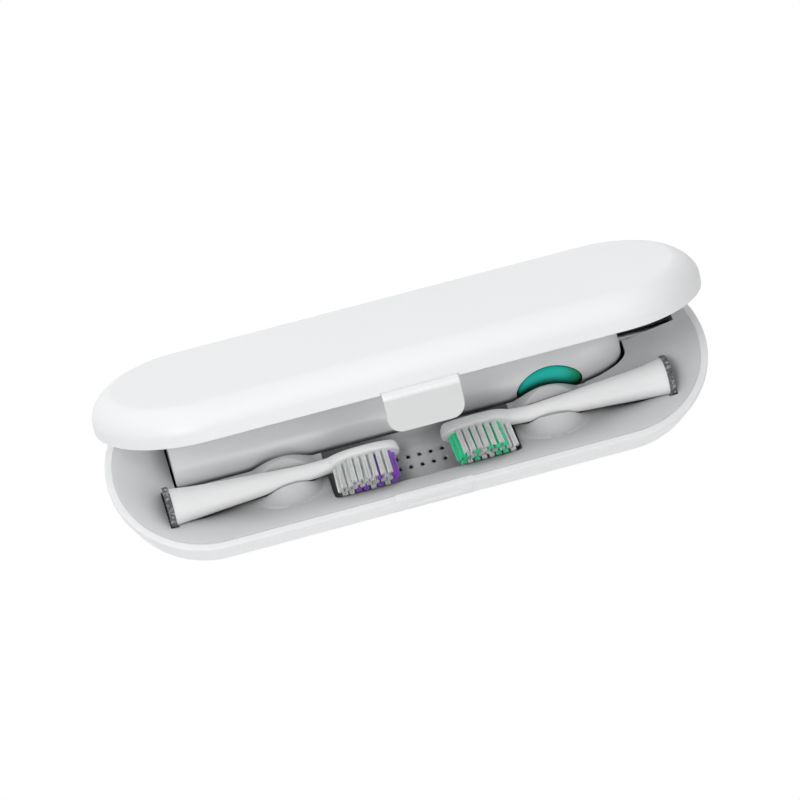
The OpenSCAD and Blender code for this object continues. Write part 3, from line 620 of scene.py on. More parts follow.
def soften(piece: bpy.types.Object, bevel_mm: float, sharp_degrees: float = 35.0) -> None:
    """Rounds a piece's crisp edges a little, and weights its normals by face area."""
    bevel = piece.modifiers.new("edge_rounding", "BEVEL")
    bevel.width, bevel.segments, bevel.limit_method = bevel_mm * MM, 2, "ANGLE"
    bevel.angle_limit, bevel.harden_normals = math.radians(sharp_degrees), True
    bevel.use_clamp_overlap = True
    weigh = piece.modifiers.new("face_weights", "WEIGHTED_NORMAL")
    weigh.keep_sharp = True


# The case


@dataclass(frozen=True)
class Hinge:
    """Hinge that tub and lid share: its axis at Y and Z, its two groups of knuckles and their spaces."""

    axis: tuple[float, float] = (35.35, 26.3)
    groups: tuple[float, ...] = (-45.0, 45.0)
    radius: float = 2.3
    reach: float = 3.6
    tub_width: float = 10.0
    lid_width: float = 5.0
    lid_place: float = 7.8
    space: float = 2.6
    play: float = 0.3
    bore: float = 0.95
    bore_half: float = 14.0

    def knuckle(self, name: str, middle: float, width: float, way: int) -> bpy.types.Object:
        """Makes a knuckle with its web.

        Args:
            name: the piece's name.
            middle: its middle along X.
            width: its width along X.
            way: -1 for a web that runs down into the tub, 1 for one that runs up into the lid.

        Returns:
            A prism whose section is a circle joined tangentially to the wall, reach away.
        """
        span, back = ((0, 150, 19), 2.6) if way < 0 else ((180, 375, 25), 1.1)
        a = np.radians(np.linspace(*span))
        arc = self.radius * np.stack([np.cos(a), np.sin(a)], -1)
        reach = way * self.reach
        foot = [[-back, 1.0], [-back, reach], [-0.1, reach]]
        section = np.concatenate([arc, foot if way < 0 else foot[::-1]])
        return prism(name, section + np.array(self.axis), middle - width / 2, middle + width / 2)

    def along(self, radius: float, middle: float, half: float) -> bpy.types.Object:
        """Makes a cutter along the axis, from middle - half to middle + half."""
        return rod("cutter", radius, middle - half, 2 * half, *self.axis)


@dataclass
class Case:
    """Tub, tray and hinge pins."""

    wardrobe: Wardrobe
    plan: Stadium = field(default_factory=Stadium)
    half_width: float = HALF_WIDTH
    height: float = 27.0
    band: float = 2.8
    belly: float = 20.0
    draft: float = 16.3
    wall: float = 2.0
    rim_wall: float = 2.7
    rim_round: float = 0.6
    recess: float = 0.7
    recess_half: float = 14.3
    recess_foot: float = 12.2
    recess_side_blend: float = 0.8
    recess_foot_blend: float = 1.6
    skin_inset: float = 3.6
    skin_margin: float = 0.4
    rim_zone: float = 3.5
    rim_margin: float = 0.5
    chamfer: float = 1.2
    ledge_drop: float = 3.6
    ledge_width: float = 2.4
    ledge_height: float = 1.5
    catch_z: float = 18.4
    catch_height: float = 1.4
    catch_span: tuple[float, float] = (-34.3, -30.6)
    catch_half: float = 10.0
    hinge: Hinge = field(default_factory=Hinge)

    def side(self, o: float) -> Array:
        """Belly of the tub set in by o, from the floor up: an arc of radius belly - o to the draft line."""
        drop = self.height - self.belly * (1 - math.sin(math.radians(self.draft)))
        centre = (self.half_width - (drop - self.band) * math.tan(math.radians(self.draft))
                  - self.belly * math.cos(math.radians(self.draft)))
        a = np.radians(90 - (90 - self.draft) * np.linspace(0, 1, 19))
        r = self.belly - o
        return np.stack([centre + r * np.cos(a), self.belly - r * np.sin(a)], -1)

    def profile(self) -> Array:
        """Whole section of the tub: underside, belly, draft, band, rounded rim, ledge and inside."""
        w, h, r = self.half_width, self.height, self.rim_round
        rim_in = w - self.rim_wall
        ledge_top = h - self.ledge_drop
        ledge_in = rim_in - self.ledge_width
        foot = ledge_top - self.ledge_height - self.ledge_width
        inner = self.side(self.wall)[::-1]
        foot_in = inner[0, 0] + (foot - inner[0, 1]) * math.tan(math.radians(self.draft))
        top = rounded([(self.side(0)[-1, 0], self.side(0)[-1, 1], 0), (w, h - self.band, 1.2), (w, h, r),
                       (rim_in, h, r), (rim_in, ledge_top, 0), (ledge_in, ledge_top, 0),
                       (ledge_in, ledge_top - self.ledge_height, 0), (foot_in, foot, 0),
                       (inner[0, 0], inner[0, 1], 0)])
        return np.concatenate([[[0, 0]], self.side(0)[:-1], top, inner[1:], [[0, self.wall]]])

    def hollow(self, probe: Array, s: Array) -> Array:
        """Depth of the finger recess: its full depth times smooth steps in X and Z, on the outside only."""
        x, y, z = probe[..., 0], probe[..., 1], probe[..., 2]
        side, foot = self.recess_side_blend, self.recess_foot_blend
        wide = smooth_step((self.recess_half + side / 2 - np.abs(x)) / side)
        high = smooth_step((z - self.recess_foot + foot / 2) / foot)
        belly = self.side(0)
        skin = np.interp(z, belly[:, 1], belly[:, 0], right=self.half_width - self.skin_inset)
        rim = s > self.half_width - self.rim_wall + self.rim_margin
        below = (z < self.height - self.rim_zone) & (s > skin - self.skin_margin)
        outside = (y < 0) & (rim | below)
        return self.recess * wide * high * outside

    def build_tub(self) -> bpy.types.Object:
        """Makes the tub from its swept section, its knuckles, the catch and the chamfer behind the flap."""
        points, faces = self.plan.sweep(self.profile(), self.hollow)
        tub = make_mesh("tub", points, faces, sharp_degrees=50)
        hinge = self.hinge
        cut(tub, [hinge.along(hinge.space, side + end * hinge.lid_place, hinge.lid_width / 2 + hinge.play)
                  for side in hinge.groups for end in (-1, 1)])
        cut(tub, [hinge.knuckle("tub_knuckle", side, hinge.tub_width, -1) for side in hinge.groups], "UNION")
        cut(tub, [hinge.along(hinge.bore, side, hinge.tub_width / 2 + 1) for side in hinge.groups])
        cut(tub, [self.catch()], "UNION")
        face, top = self.recess - self.half_width, self.height
        edge = np.array([[face - 1, top - self.chamfer - 1], [face + self.chamfer + 0.6, top + 0.6],
                         [face - 1, top + 0.6]])
        cut(tub, [prism("cutter", edge, -self.recess_half, self.recess_half)])
        flat_shade(tub)
        self.wardrobe.dress(tub, Finish.CASE)
        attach(tub, "case")
        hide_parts("case_shell")
        return tub

    def catch(self) -> bpy.types.Object:
        """Rib that the flap's hook snaps under, a wedge."""
        (tip, root), z, top = self.catch_span, self.catch_z, self.catch_z + self.catch_height
        section = np.array([[root, z], [tip, z], [tip, top], [root, top + root - tip]])
        return prism("catch", section, -self.catch_half, self.catch_half)

    def build(self) -> list[bpy.types.Object]:
        """Makes the tub and dresses the pins."""
        self.wardrobe.dress(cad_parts["hinge_pins"], Finish.STEEL)
        return [self.build_tub()]


@dataclass
class Tray:
    """Formed tray: one sheet whose height over the plan is worked out point by point."""

    wardrobe: Wardrobe
    spine: float = SPINE
    edge: float = 32.66
    lip: float = 26.75
    floor: float = 21.0
    wall: float = 1.1
    dish_width: float = 13.0
    dish_growth: float = 12.0
    dish_from: float = 55.0
    dish_over: float = 40.0
    handle_axis: tuple[float, float] = HANDLE_AXIS
    handle_ends: tuple[float, float] = (-86.2, 80.7)
    handle_gap: float = 0.8
    front_gap: float = 1.5
    front_fade: tuple[float, float] = (4.0, 18.0)
    shoulder_gap: float = 1.0
    head_axis: tuple[float, float] = HEAD_AXIS
    head_bases: tuple[float, float] = HEAD_BASES
    head_gap: float = 0.35
    flare_slopes: tuple[float, float] = (0.55, 2.2)
    flare_lips: tuple[float, float] = (0.3, 1.5)
    mounds: tuple[tuple[float, float, float], ...] = ((-48.4, 13.4, 7.4), (49.1, 14.0, 8.4))
    mound_y: float = -12.5
    mound_power: float = 2.2
    mound_softness: float = 1.35
    well: tuple[float, float, float, float] = (-33.9, 34.8, -26.15, -5.7)
    well_floor: float = 13.0
    well_slope: float = 5.2
    well_corner: float = 2.0
    well_tail: float = 4.0
    well_edge: float = 0.5
    well_step: float = 0.17
    pair: float = 0.05
    slot_half: float = 2.2
    slot_end: float = 101.0
    bay: tuple[float, float] = (39.1, 64.1)
    bay_radius: float = 15.05
    drain_radius: float = 0.68
    drain_pitch: float = 4.25
    drain_start: tuple[float, float] = (-12.3, -11.8)
    drains: tuple[int, int] = (7, 2)
    drain_grid: tuple[float, float, int] = (0.45, 0.425, 36)
    grid_step: float = 0.6
    quick_step: float = 1.6
    grid_end: float = 90.4
    least_step: float = 0.14
    lines: tuple[int, ...] = (9, 25, 15, 15, 30, 12)
    well_shares: tuple[float, ...] = (0, 0.018, 0.036, 0.054, 0.09)
    handle_radius: float = HANDLE_RADIUS
    shoulder: float = HANDLE_SHOULDER
    end_radius: float = HANDLE_END
    ring_radius: float = RING_RADIUS
    base_radius: float = BASE_RADIUS
    base_fall: float = 4.35
    taper_span: tuple[float, float] = (2.3, 58.8)

    def handle_half(self, x: Array) -> Array:
        """Half width of the handle's pocket, and of the shaft's slot beyond the handle."""
        end, shoulder, top = self.handle_ends[1], self.shoulder, self.end_radius
        v = np.clip((x - end + shoulder) / (shoulder + self.shoulder_gap), 0, 1)
        gap = self.handle_gap + (self.shoulder_gap - self.handle_gap) * smooth_step(v * 2)
        half = top + gap + (self.handle_radius - top) * np.sqrt(1 - v ** 2)
        return np.where(x > end + self.shoulder_gap, self.slot_half, half)

    def front_extra(self, x: Array) -> Array:
        """How much wider the handle's pocket is on its front side."""
        before, over = self.front_fade
        fade = smooth_step((self.handle_ends[1] - before - x) / over)
        return fade * (self.front_gap - self.handle_gap)

    def neck_half(self, x: Array) -> Array:
        """Half width of the heads' channels: ring pocket, taper and neck."""
        left, right = self.head_bases
        along = np.where(x < 0, x - left, right - x)
        low, high = self.taper_span
        place = low + (high - low) * np.array(TAPER_PLACES)
        radius = self.base_radius - self.base_fall * np.array(TAPER_FALLS)
        half = monotone(place, radius, np.clip(along, low, high))
        return np.where(along < low + self.head_gap, self.ring_radius, half) + self.head_gap

    def columns(self) -> Array:
        """Places of the grid's lines across X: even steps, with close pairs where a wall crosses."""
        left, right = self.head_bases
        gap, ring = self.head_gap, self.taper_span[0] + self.head_gap
        walls = [left - gap, left + ring, right - ring, right + gap, self.handle_ends[0] - self.handle_gap,
                 self.handle_ends[1] + self.shoulder_gap, self.slot_end, *self.bay]
        pairs = np.array([w + s for w in walls for s in (-self.pair, self.pair)])
        steps = self.well_step * np.arange(4)
        slopes = np.concatenate([self.well[0] + steps, self.well[1] - steps])
        fixed = np.concatenate([pairs, slopes])
        tips = self.spine + self.edge * np.sin(np.radians(np.linspace(30, 90, 60)))
        tips = tips[tips > self.grid_end + 0.5]
        even = np.arange(-self.grid_end, self.grid_end, self.grid_step)
        middle, step, count = self.drain_grid
        holes = middle + step * np.arange(-count, count + 1)
        even = even[(even < holes[0] - 0.2) | (even > holes[-1] + 0.2)]
        loose = np.concatenate([even, holes, tips, -tips])
        keep = np.abs(loose[:, None] - fixed[None, :]).min(1) > self.least_step
        return np.sort(np.concatenate([loose[keep], fixed]))

    def rows(self, x: Array) -> Array:
        """Places of the grid's lines across Y at each x, bent to follow the pockets' edges."""
        e = self.pair
        ay, hy = self.head_axis[0], self.handle_axis[0]
        neck, half = self.neck_half(x), self.handle_half(x)
        in_bay = (x > self.bay[0]) & (x < self.bay[1])
        front = hy - np.maximum(half + self.front_extra(x), np.where(in_bay, self.bay_radius, 0))
        stops = [np.full_like(x, -self.edge), np.full_like(x, self.well[2]), ay - neck, ay + neck, front,
                 hy + half, np.full_like(x, self.edge)]
        *close, begin = self.well_shares
        strips = []
        for k, count in enumerate(self.lines):
            low = stops[k] + (e if k else 0)
            high = stops[k + 1] - (e if k < len(self.lines) - 1 else 0)
            share = np.linspace(0, 1, count)
            if k == 1:
                share = np.concatenate([close, np.linspace(begin, 1, count - len(close))])
            strips.append(low[:, None] + (high - low)[:, None] * share)
        y = np.concatenate(strips, axis=1)
        over = np.clip(np.abs(x) - self.spine, 0, self.edge)
        limit = np.sqrt(self.edge ** 2 - over ** 2)[:, None]
        return np.clip(y, -limit, limit)

    def height(self, x: Array, y: Array) -> Array:
        """Height of the sheet: floor, dished edge, mounds, and then every pocket cut down into them.

        The edge rises by a smooth step of the distance from the seam; a mound rises as
        (1 - q^mound_power)^mound_softness of its share q; a channel of half width w about an axis
        at height a lies at a - sqrt(w^2 - d^2); the well's back is a quarter circle.
        """
        beyond = np.clip(np.abs(x) - self.spine, 0, None)
        seam = self.edge - np.hypot(beyond, y)
        grown = smooth_step((np.abs(x) - self.dish_from) / self.dish_over)
        width = self.dish_width + self.dish_growth * grown
        z = self.floor + (self.lip - self.floor) * smooth_step(1 - seam / width)
        for middle, radius, tall in self.mounds:
            q = np.hypot(x - middle, y - self.mound_y) / radius
            dome = self.floor + tall * np.clip(1 - q ** self.mound_power, 0, 1) ** self.mound_softness
            z = np.where(q < 1, np.maximum(z, dome), z)
        neck, d = self.neck_half(x), y - self.head_axis[0]
        along = np.where(x < 0, x - self.head_bases[0], self.head_bases[1] - x)
        covered = (along > -self.head_gap) & (along < self.taper_span[1])
        groove = self.head_axis[1] - np.sqrt(np.clip(neck ** 2 - d ** 2, 0, None))
        z = np.where(covered & (np.abs(d) < neck), np.minimum(z, groove), z)
        slope, lip = (np.where(d > 0, *sides) for sides in (self.flare_slopes, self.flare_lips))
        flare = self.head_axis[1] + lip + slope * (np.abs(d) - neck)
        z = np.where(covered & (np.abs(d) >= neck), np.minimum(z, np.maximum(flare, self.floor)), z)
        left, right, front, back = self.well
        tail, edge = self.well_tail, self.well_edge
        cx, cy = (left + right) / 2, (front + back + tail) / 2
        dx = np.abs(x - cx) - (right - left) / 2 + self.well_corner
        dy = np.abs(y - cy) - (back + tail - front) / 2 + self.well_corner
        away = np.hypot(dx.clip(0), dy.clip(0)) + np.minimum(np.maximum(dx, dy), 0) - self.well_corner
        rise = np.clip((y - back + self.well_slope) / self.well_slope, 0, 1)
        bottom = self.well_floor + (self.floor - self.well_floor) * (1 - np.sqrt(1 - rise ** 2))
        bottom = bottom + (z - bottom) * smooth_step((away + edge) / edge)
        z = np.where((away < 0) & (y < back), np.minimum(z, bottom), z)
        d = y - self.handle_axis[0]
        in_bay = (x > self.bay[0]) & (x < self.bay[1]) & (d < 0)
        half = self.handle_half(x) + np.where(d < 0, self.front_extra(x), 0)
        half = np.where(in_bay, np.maximum(half, self.bay_radius), half)
        inside = (np.abs(d) < half) & (x > self.handle_ends[0] - self.handle_gap) & (x < self.slot_end)
        return np.where(inside, self.handle_axis[1] - np.sqrt(np.clip(half ** 2 - d ** 2, 0, None)), z)

    def build(self) -> list[bpy.types.Object]:
        """Makes the sheet, opens the drain holes in its grid and gives it its thickness."""
        x = self.columns()
        y = self.rows(x)
        n, m = y.shape
        xx = np.repeat(x[:, None], m, 1)
        points = np.stack([xx, y, self.height(xx, y)], -1)
        faces = grid_faces(n, m, False, False)
        dropped = np.zeros((n - 1, m - 1), bool)
        di, dj = np.meshgrid(np.arange(-2, 3), np.arange(-2, 3), indexing="ij")
        edge, turned = np.maximum(np.abs(di), np.abs(dj)) == 2, np.arctan2(dj, di)
        across, deep = self.drains
        for i in range(across):
            for j in range(deep):
                hx = self.drain_start[0] + i * self.drain_pitch
                hy = self.drain_start[1] - j * self.drain_pitch
                a = int(np.abs(x - hx).argmin())
                b = int(np.abs(y[a] - hy).argmin())
                patch = points[a - 2:a + 3, b - 2:b + 3]
                patch[..., 0] = np.where(edge, hx + self.drain_radius * np.cos(turned), patch[..., 0])
                patch[..., 1] = np.where(edge, hy + self.drain_radius * np.sin(turned), patch[..., 1])
                dropped[a - 2:a + 2, b - 2:b + 2] = True
        faces = faces[~dropped.ravel()]
        tray = make_mesh("tray", points, faces.tolist(), sharp_degrees=45, turn_outwards=False)
        thick = tray.modifiers.new("sheet_thickness", "SOLIDIFY")
        thick.thickness, thick.offset, thick.use_rim = self.wall * MM, -1.0, True
        self.wardrobe.dress(tray, Finish.TRAY)
        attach(tray, "case")
        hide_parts("inner_tray")
        return [tray]


def rod(name: str, radius: float, x: float, length: float, y: float, z: float) -> bpy.types.Object:
    """Closed cylinder along X as a tool for cutting or joining."""
    points, faces = revolve(np.array([[x, 0], [x, radius], [x + length, radius], [x + length, 0]]), 48)
    return make_mesh(name, points + np.array([0, y, z]), faces)


def prism(name: str, section: Array, x0: float, x1: float) -> bpy.types.Object:
    """Closed prism along X whose section has the given Y and Z."""
    n = len(section)
    low = np.column_stack([np.full(n, x0), section])
    high = np.column_stack([np.full(n, x1), section])
    sides = grid_faces(2, n, False, True).tolist()
    return make_mesh(name, np.concatenate([low, high]), sides + [list(range(n)), list(range(n, 2 * n))])


def swing(piece: bpy.types.Object, *turns: tuple[float, tuple[float, float]]) -> None:
    """Turns a piece's mesh about axes along X, each given by its degrees and the axis's Y and Z."""
    co = np.empty(len(piece.data.vertices) * 3)
    piece.data.vertices.foreach_get("co", co)
    co = co.reshape(-1, 3) / MM
    for degrees, centre in turns:
        co = turn(co, degrees, centre)
    piece.data.vertices.foreach_set("co", (co * MM).ravel())


def flat_shade(piece: bpy.types.Object, sharp_degrees: float = 32.0) -> None:
    """Marks edges that turn sharply as crisp and the rest as smooth, after a cut."""
    work = bmesh.new()
    work.from_mesh(piece.data)
    bmesh.ops.remove_doubles(work, verts=work.verts, dist=0.000002)
    crispen(work, sharp_degrees)
    work.to_mesh(piece.data)
    work.free()
    weigh = piece.modifiers.new("face_weights", "WEIGHTED_NORMAL")
    weigh.keep_sharp = True


# The lid and its flap


@dataclass
class Lid:
    """Domed lid with its knuckles, and the latch flap."""

    wardrobe: Wardrobe
    plan: Stadium = field(default_factory=Stadium)
    half_width: float = HALF_WIDTH
    bottom: float = 27.3
    band: float = 3.8
    dome_height: float = 8.1
    dome_inset: float = 8.8
    dome_power: float = 1.6
    wall: float = 2.0
    opened: float = 40.4
    latch_axis: tuple[float, float] = (-33.95, 28.35)
    notch: tuple[float, float] = (-13.6, 14.3)
    notch_radius: float = 1.25
    hinge: Hinge = field(default_factory=Hinge)

    def dome(self, o: float, steps: int = 26) -> Array:
        """Dome set in by o: distance and height follow cos and sin to the power 2 / dome_power."""
        a = np.radians(np.linspace(0, 90, steps + 1))
        e = 2 / self.dome_power
        s = self.half_width - self.dome_inset + (self.dome_inset - o) * np.cos(a).clip(0) ** e
        z = self.bottom + self.band + (self.dome_height - o) * np.sin(a) ** e
        return np.stack([s, z], -1)

    def profile(self) -> Array:
        """Whole section of the lid: dome, band, rounded lower edge and inside."""
        w, b = self.half_width, self.bottom
        outer = self.dome(0)[::-1]
        inner = self.dome(self.wall)
        edge = rounded([(w, b + self.band, 0), (w, b, 0.4), (w - self.wall, b, 0.5),
                        (w - self.wall, b + self.band, 0)])
        return np.concatenate([[[0, outer[0, 1]]], outer[:-1], edge, inner[1:], [[0, inner[-1, 1]]]])

    def build(self) -> list[bpy.types.Object]:
        """Makes the lid, closed, cuts the notch and the knuckle spaces, and turns it open."""
        points, faces = self.plan.sweep(self.profile())
        lid = make_mesh("lid", points, faces, sharp_degrees=50)
        hinge = self.hinge
        cut(lid, [hinge.knuckle("lid_knuckle", side + end * hinge.lid_place, hinge.lid_width, 1)
                  for side in hinge.groups for end in (-1, 1)], "UNION")
        tools = [hinge.along(hinge.space, side, hinge.tub_width / 2 + hinge.play) for side in hinge.groups]
        tools += [hinge.along(hinge.bore, side, hinge.bore_half) for side in hinge.groups]
        (y, z), r, (left, right) = self.latch_axis, self.notch_radius, self.notch
        tools.append(rod("cutter", r, left, right - left, y, z))
        below = np.array([[y + r, z - 3], [y + r, z], [y - 2, z], [y - 2, z - 3]])
        tools.append(prism("cutter", below, left, right))
        cut(lid, tools)
        swing(lid, (-self.opened, hinge.axis))
        flat_shade(lid)
        self.wardrobe.dress(lid, Finish.CASE)
        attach(lid, "lid")
        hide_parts("lid_shell")
        self.wardrobe.dress(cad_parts["latch_pin"], Finish.STEEL)
        return [lid, Flap(self.wardrobe, self.opened, hinge.axis, self.latch_axis).build()]


@dataclass
class Flap:
    """Latch flap: barrel, two ridges, a flat face with round lower corners, and the hook behind it."""

    wardrobe: Wardrobe
    opened: float
    hinge: tuple[float, float]
    axis: tuple[float, float]
    rest: float = 5.0
    barrel: float = 1.05
    pin_hole: float = 0.56
    left: float = -13.3
    right: float = 14.0
    bottom: float = 13.2
    corner: float = 5.0
    flat_top: float = 24.9
    face: float = -36.65
    inner: float = -35.05
    step: tuple[float, float, float] = (-35.15, 27.15, 0.35)
    first_ridge: tuple[float, float, float] = (-36.0, 26.75, 0.35)
    second_ridge: tuple[float, float, float] = (-36.95, 26.1, 0.5)
    inner_top: float = 25.7
    hook_place: float = 2.5
    hook_reach: float = 1.45
    hook_height: float = 2.4
    hook_root: float = 0.8
    hook_half: float = 10.0

    def section(self) -> Array:
        """Outline over Y and Z, from the barrel's top down the front and up the back."""
        y, z = self.axis
        front = np.radians(np.linspace(90, 222, 16))
        rear = np.radians(np.linspace(-75, 80, 14))
        fore, aft = (np.column_stack([y + self.barrel * np.cos(a), z + self.barrel * np.sin(a)])
                     for a in (front, rear))
        face = rounded([(*fore[-1], 0), self.step, self.first_ridge, self.second_ridge,
                        (self.face, self.flat_top, 0.5), (self.face, self.bottom, 0.5),
                        (self.inner, self.bottom, 0.5), (self.inner, self.inner_top, 0.3), (*aft[0], 0)])
        level = np.linspace(self.flat_top - 1, self.bottom + 1, 10)
        straight = np.column_stack([np.full(10, self.face), level])
        back = np.column_stack([np.full(10, self.inner), level[::-1]])
        low = int(np.argmax(face[:, 1] < self.bottom + 0.9))
        high = len(face) - int(np.argmax(face[::-1, 1] < self.bottom + 0.9))
        face = np.concatenate([face[:low], straight, face[low:high], back, face[high:]])
        return np.concatenate([fore[:-1], face, aft[1:]])

    def build(self) -> bpy.types.Object:
        """Makes the flap closed, joins its hook, drills its barrel and turns it to its place.

        Below flat_top a section is squeezed upwards so that its foot follows the round corner,
        bottom + r - sqrt(r^2 - d^2), where d is the distance past the corner's start.
        """
        section = self.section()
        middle, half = (self.left + self.right) / 2, (self.right - self.left) / 2
        bend = self.corner * np.sin(np.radians(np.linspace(0, 90, 14)))
        x = np.concatenate([-(half - self.corner + bend)[::-1], half - self.corner + bend])
        d = np.clip(np.abs(x) - half + self.corner, 0, self.corner)[:, None]
        foot = self.bottom + self.corner - np.sqrt(self.corner ** 2 - d ** 2)
        y, z = section[None, :, 0] + 0 * d, section[None, :, 1] + 0 * d
        squeezed = foot + (z - self.bottom) * (self.flat_top - foot) / (self.flat_top - self.bottom)
        z = np.where(z < self.flat_top, squeezed, z)
        points = np.stack([x[:, None] + middle + 0 * y, y, z], -1)
        n, m = y.shape
        ends = [list(range(m)), list(range((n - 1) * m, n * m))]
        flap = make_mesh("flap", points, grid_faces(n, m, False, True).tolist() + ends, sharp_degrees=40)
        soften(flap, 0.25, 60.0)
        low, top = self.bottom + self.hook_place, self.bottom + self.hook_place + self.hook_height
        root, tip = self.inner - self.hook_root, self.inner + self.hook_reach
        hook = np.array([[root, low], [self.inner, low], [tip, low + self.hook_reach], [tip, top],
                         [root, top]])
        cut(flap, [prism("hook", hook, -self.hook_half, self.hook_half)], "UNION")
        cut(flap, [rod("cutter", self.pin_hole, self.left - 1, self.right - self.left + 2, *self.axis)])
        swing(flap, (-self.rest, self.axis), (-self.opened, self.hinge))
        self.wardrobe.dress(flap, Finish.LATCH)
        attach(flap, "latch")
        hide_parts("latch_tab")
        return flap


# The handle


@dataclass
class Handle:
    """Toothbrush handle with its button and drive shaft."""

    wardrobe: Wardrobe
    at: tuple[float, float, float] = (-86.2, *HANDLE_AXIS)
    tilt: float = 16.0
    length: float = 166.9
    radius: float = HANDLE_RADIUS
    wall: float = 1.8
    shoulder: float = HANDLE_SHOULDER
    end_radius: float = HANDLE_END
    button_place: float = 137.8
    button_length: float = 24.0
    button_width: float = 14.8
    button_rise: float = 1.5
    button_edge: float = 0.5
    button_root: float = 12.45
    play: float = 0.3
    opening: tuple[float, float] = (5.0, 20.0)
    shaft_hole: float = 3.85
    around: int = 160
    oval_sides: int = 96

    def side(self, o: float) -> Array:
        """Side of the handle set out by o: a straight side and a quarter ellipse down to the end face."""
        a = np.radians(np.linspace(0, 90, 28))
        x = self.length - self.shoulder + (self.shoulder + o) * np.sin(a)
        r = self.end_radius + o + (self.radius - self.end_radius) * np.cos(a)
        return np.stack([x, r], -1)

    def place(self, piece: bpy.types.Object) -> None:
        """Turns a piece's mesh by the button's angle and moves it to the handle's place."""
        move = Matrix.Translation(Vector(self.at) * MM) @ Matrix.Rotation(math.radians(-self.tilt), 4, "X")
        piece.data.transform(move)

    def build_housing(self) -> bpy.types.Object:
        """Makes the housing as a turned shell with the button's opening cut through its front."""
        outer, inner = self.side(0), self.side(-self.wall)
        hole, inside = self.shaft_hole, self.radius - self.wall
        tail = rounded([(self.length - 2.0, outer[-3, 1], 0), (self.length, self.end_radius, 0.5),
                        (self.length, hole, 0.2), (self.length - self.wall, hole, 0)], 4)
        base = rounded([(2, inside, 0), (0, inside, 0.2), (0, self.radius, 0.5), (6, self.radius, 0)], 4)
        keep = inner[inner[:, 1] > hole]
        profile = np.concatenate([base[:-1], outer[:-3], tail[1:], keep[::-1], base[:1]])
        points, faces = revolve(profile, self.around)
        shell = make_mesh("handle_housing", points, faces, sharp_degrees=50)
        cut(shell, [self.oval("cutter", self.play, *self.opening)])
        self.place(shell)
        flat_shade(shell)
        self.wardrobe.dress(shell, Finish.HANDLE)
        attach(shell, "handle")
        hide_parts("handle_shell")
        return shell

    def oval(self, name: str, o: float, low: float, high: float) -> bpy.types.Object:
        """Closed oval prism from y = -low to y = -high, set out by o."""
        n = self.oval_sides
        t = np.linspace(0, 2 * np.pi, n, endpoint=False)
        x = self.button_place + (self.button_length / 2 + o) * np.cos(t)
        z = (self.button_width / 2 + o) * np.sin(t)
        rings = np.stack([np.stack([x, 0 * x - y, z], -1) for y in (low, high)])
        ends = [list(range(n)), list(range(n, 2 * n))]
        return make_mesh(name, rings, grid_faces(2, n, False, True).tolist() + ends)

    def build_button(self) -> bpy.types.Object:
        """Makes the button: an oval cushion whose crown stands button_rise proud of the handle.

        The radius over the oval's share q, from 0 in the middle to 1 at the edge, is the handle's
        radius + rise x (1 - q^2.6) - edge x q^14, so the crown is flat and the edge rolls under.
        """
        q = np.concatenate([np.linspace(0, 0.9, 22), np.linspace(0.9, 1.0, 9)[1:]])[:, None]
        n, m = len(q), self.oval_sides
        t = np.linspace(0, 2 * np.pi, m, endpoint=False)[None, :]
        x = self.button_length / 2 * q * np.cos(t)
        z = self.button_width / 2 * q * np.sin(t)
        top = self.radius + self.button_rise * (1 - q ** 2.6) - self.button_edge * q ** 14 + 0 * t
        sides = [np.stack([x + self.button_place, -np.sqrt(r ** 2 - z ** 2), z], -1).reshape(-1, 3)
                 for r in (top, self.button_root)]
        faces = np.concatenate([grid_faces(n, m, False, True), grid_faces(n, m, False, True, n * m),
                                ring_joint((n - 1) * m, (2 * n - 1) * m, m)])
        button = make_mesh("button_cushion", np.concatenate(sides), faces.tolist(), sharp_degrees=60)
        self.place(button)
        self.wardrobe.dress(button, Finish.BUTTON)
        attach(button, "button")
        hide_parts("power_button")
        return button

    def build(self) -> list[bpy.types.Object]:
        """Makes housing and button, and dresses what is inside."""
        inside = {"base_cap": Finish.HANDLE, "base_seal": Finish.RUBBER, "chassis": Finish.CARRIER,
                  "battery": Finish.CELL, "motor": Finish.CAN, "shaft_bearing": Finish.BRASS,
                  "shaft_seal": Finish.RUBBER, "circuit_board": Finish.BOARD,
                  "button_switch": Finish.SWITCH, "button_membrane": Finish.RUBBER,
                  "charging_coil": Finish.COPPER, "drive_shaft": Finish.STEEL}
        for node, finish in inside.items():
            self.wardrobe.dress(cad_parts[node], finish)
        return [self.build_housing(), self.build_button()]


# The brush heads


class Side(Enum):
    """Which of the two heads."""

    LEFT = "left"
    RIGHT = "right"


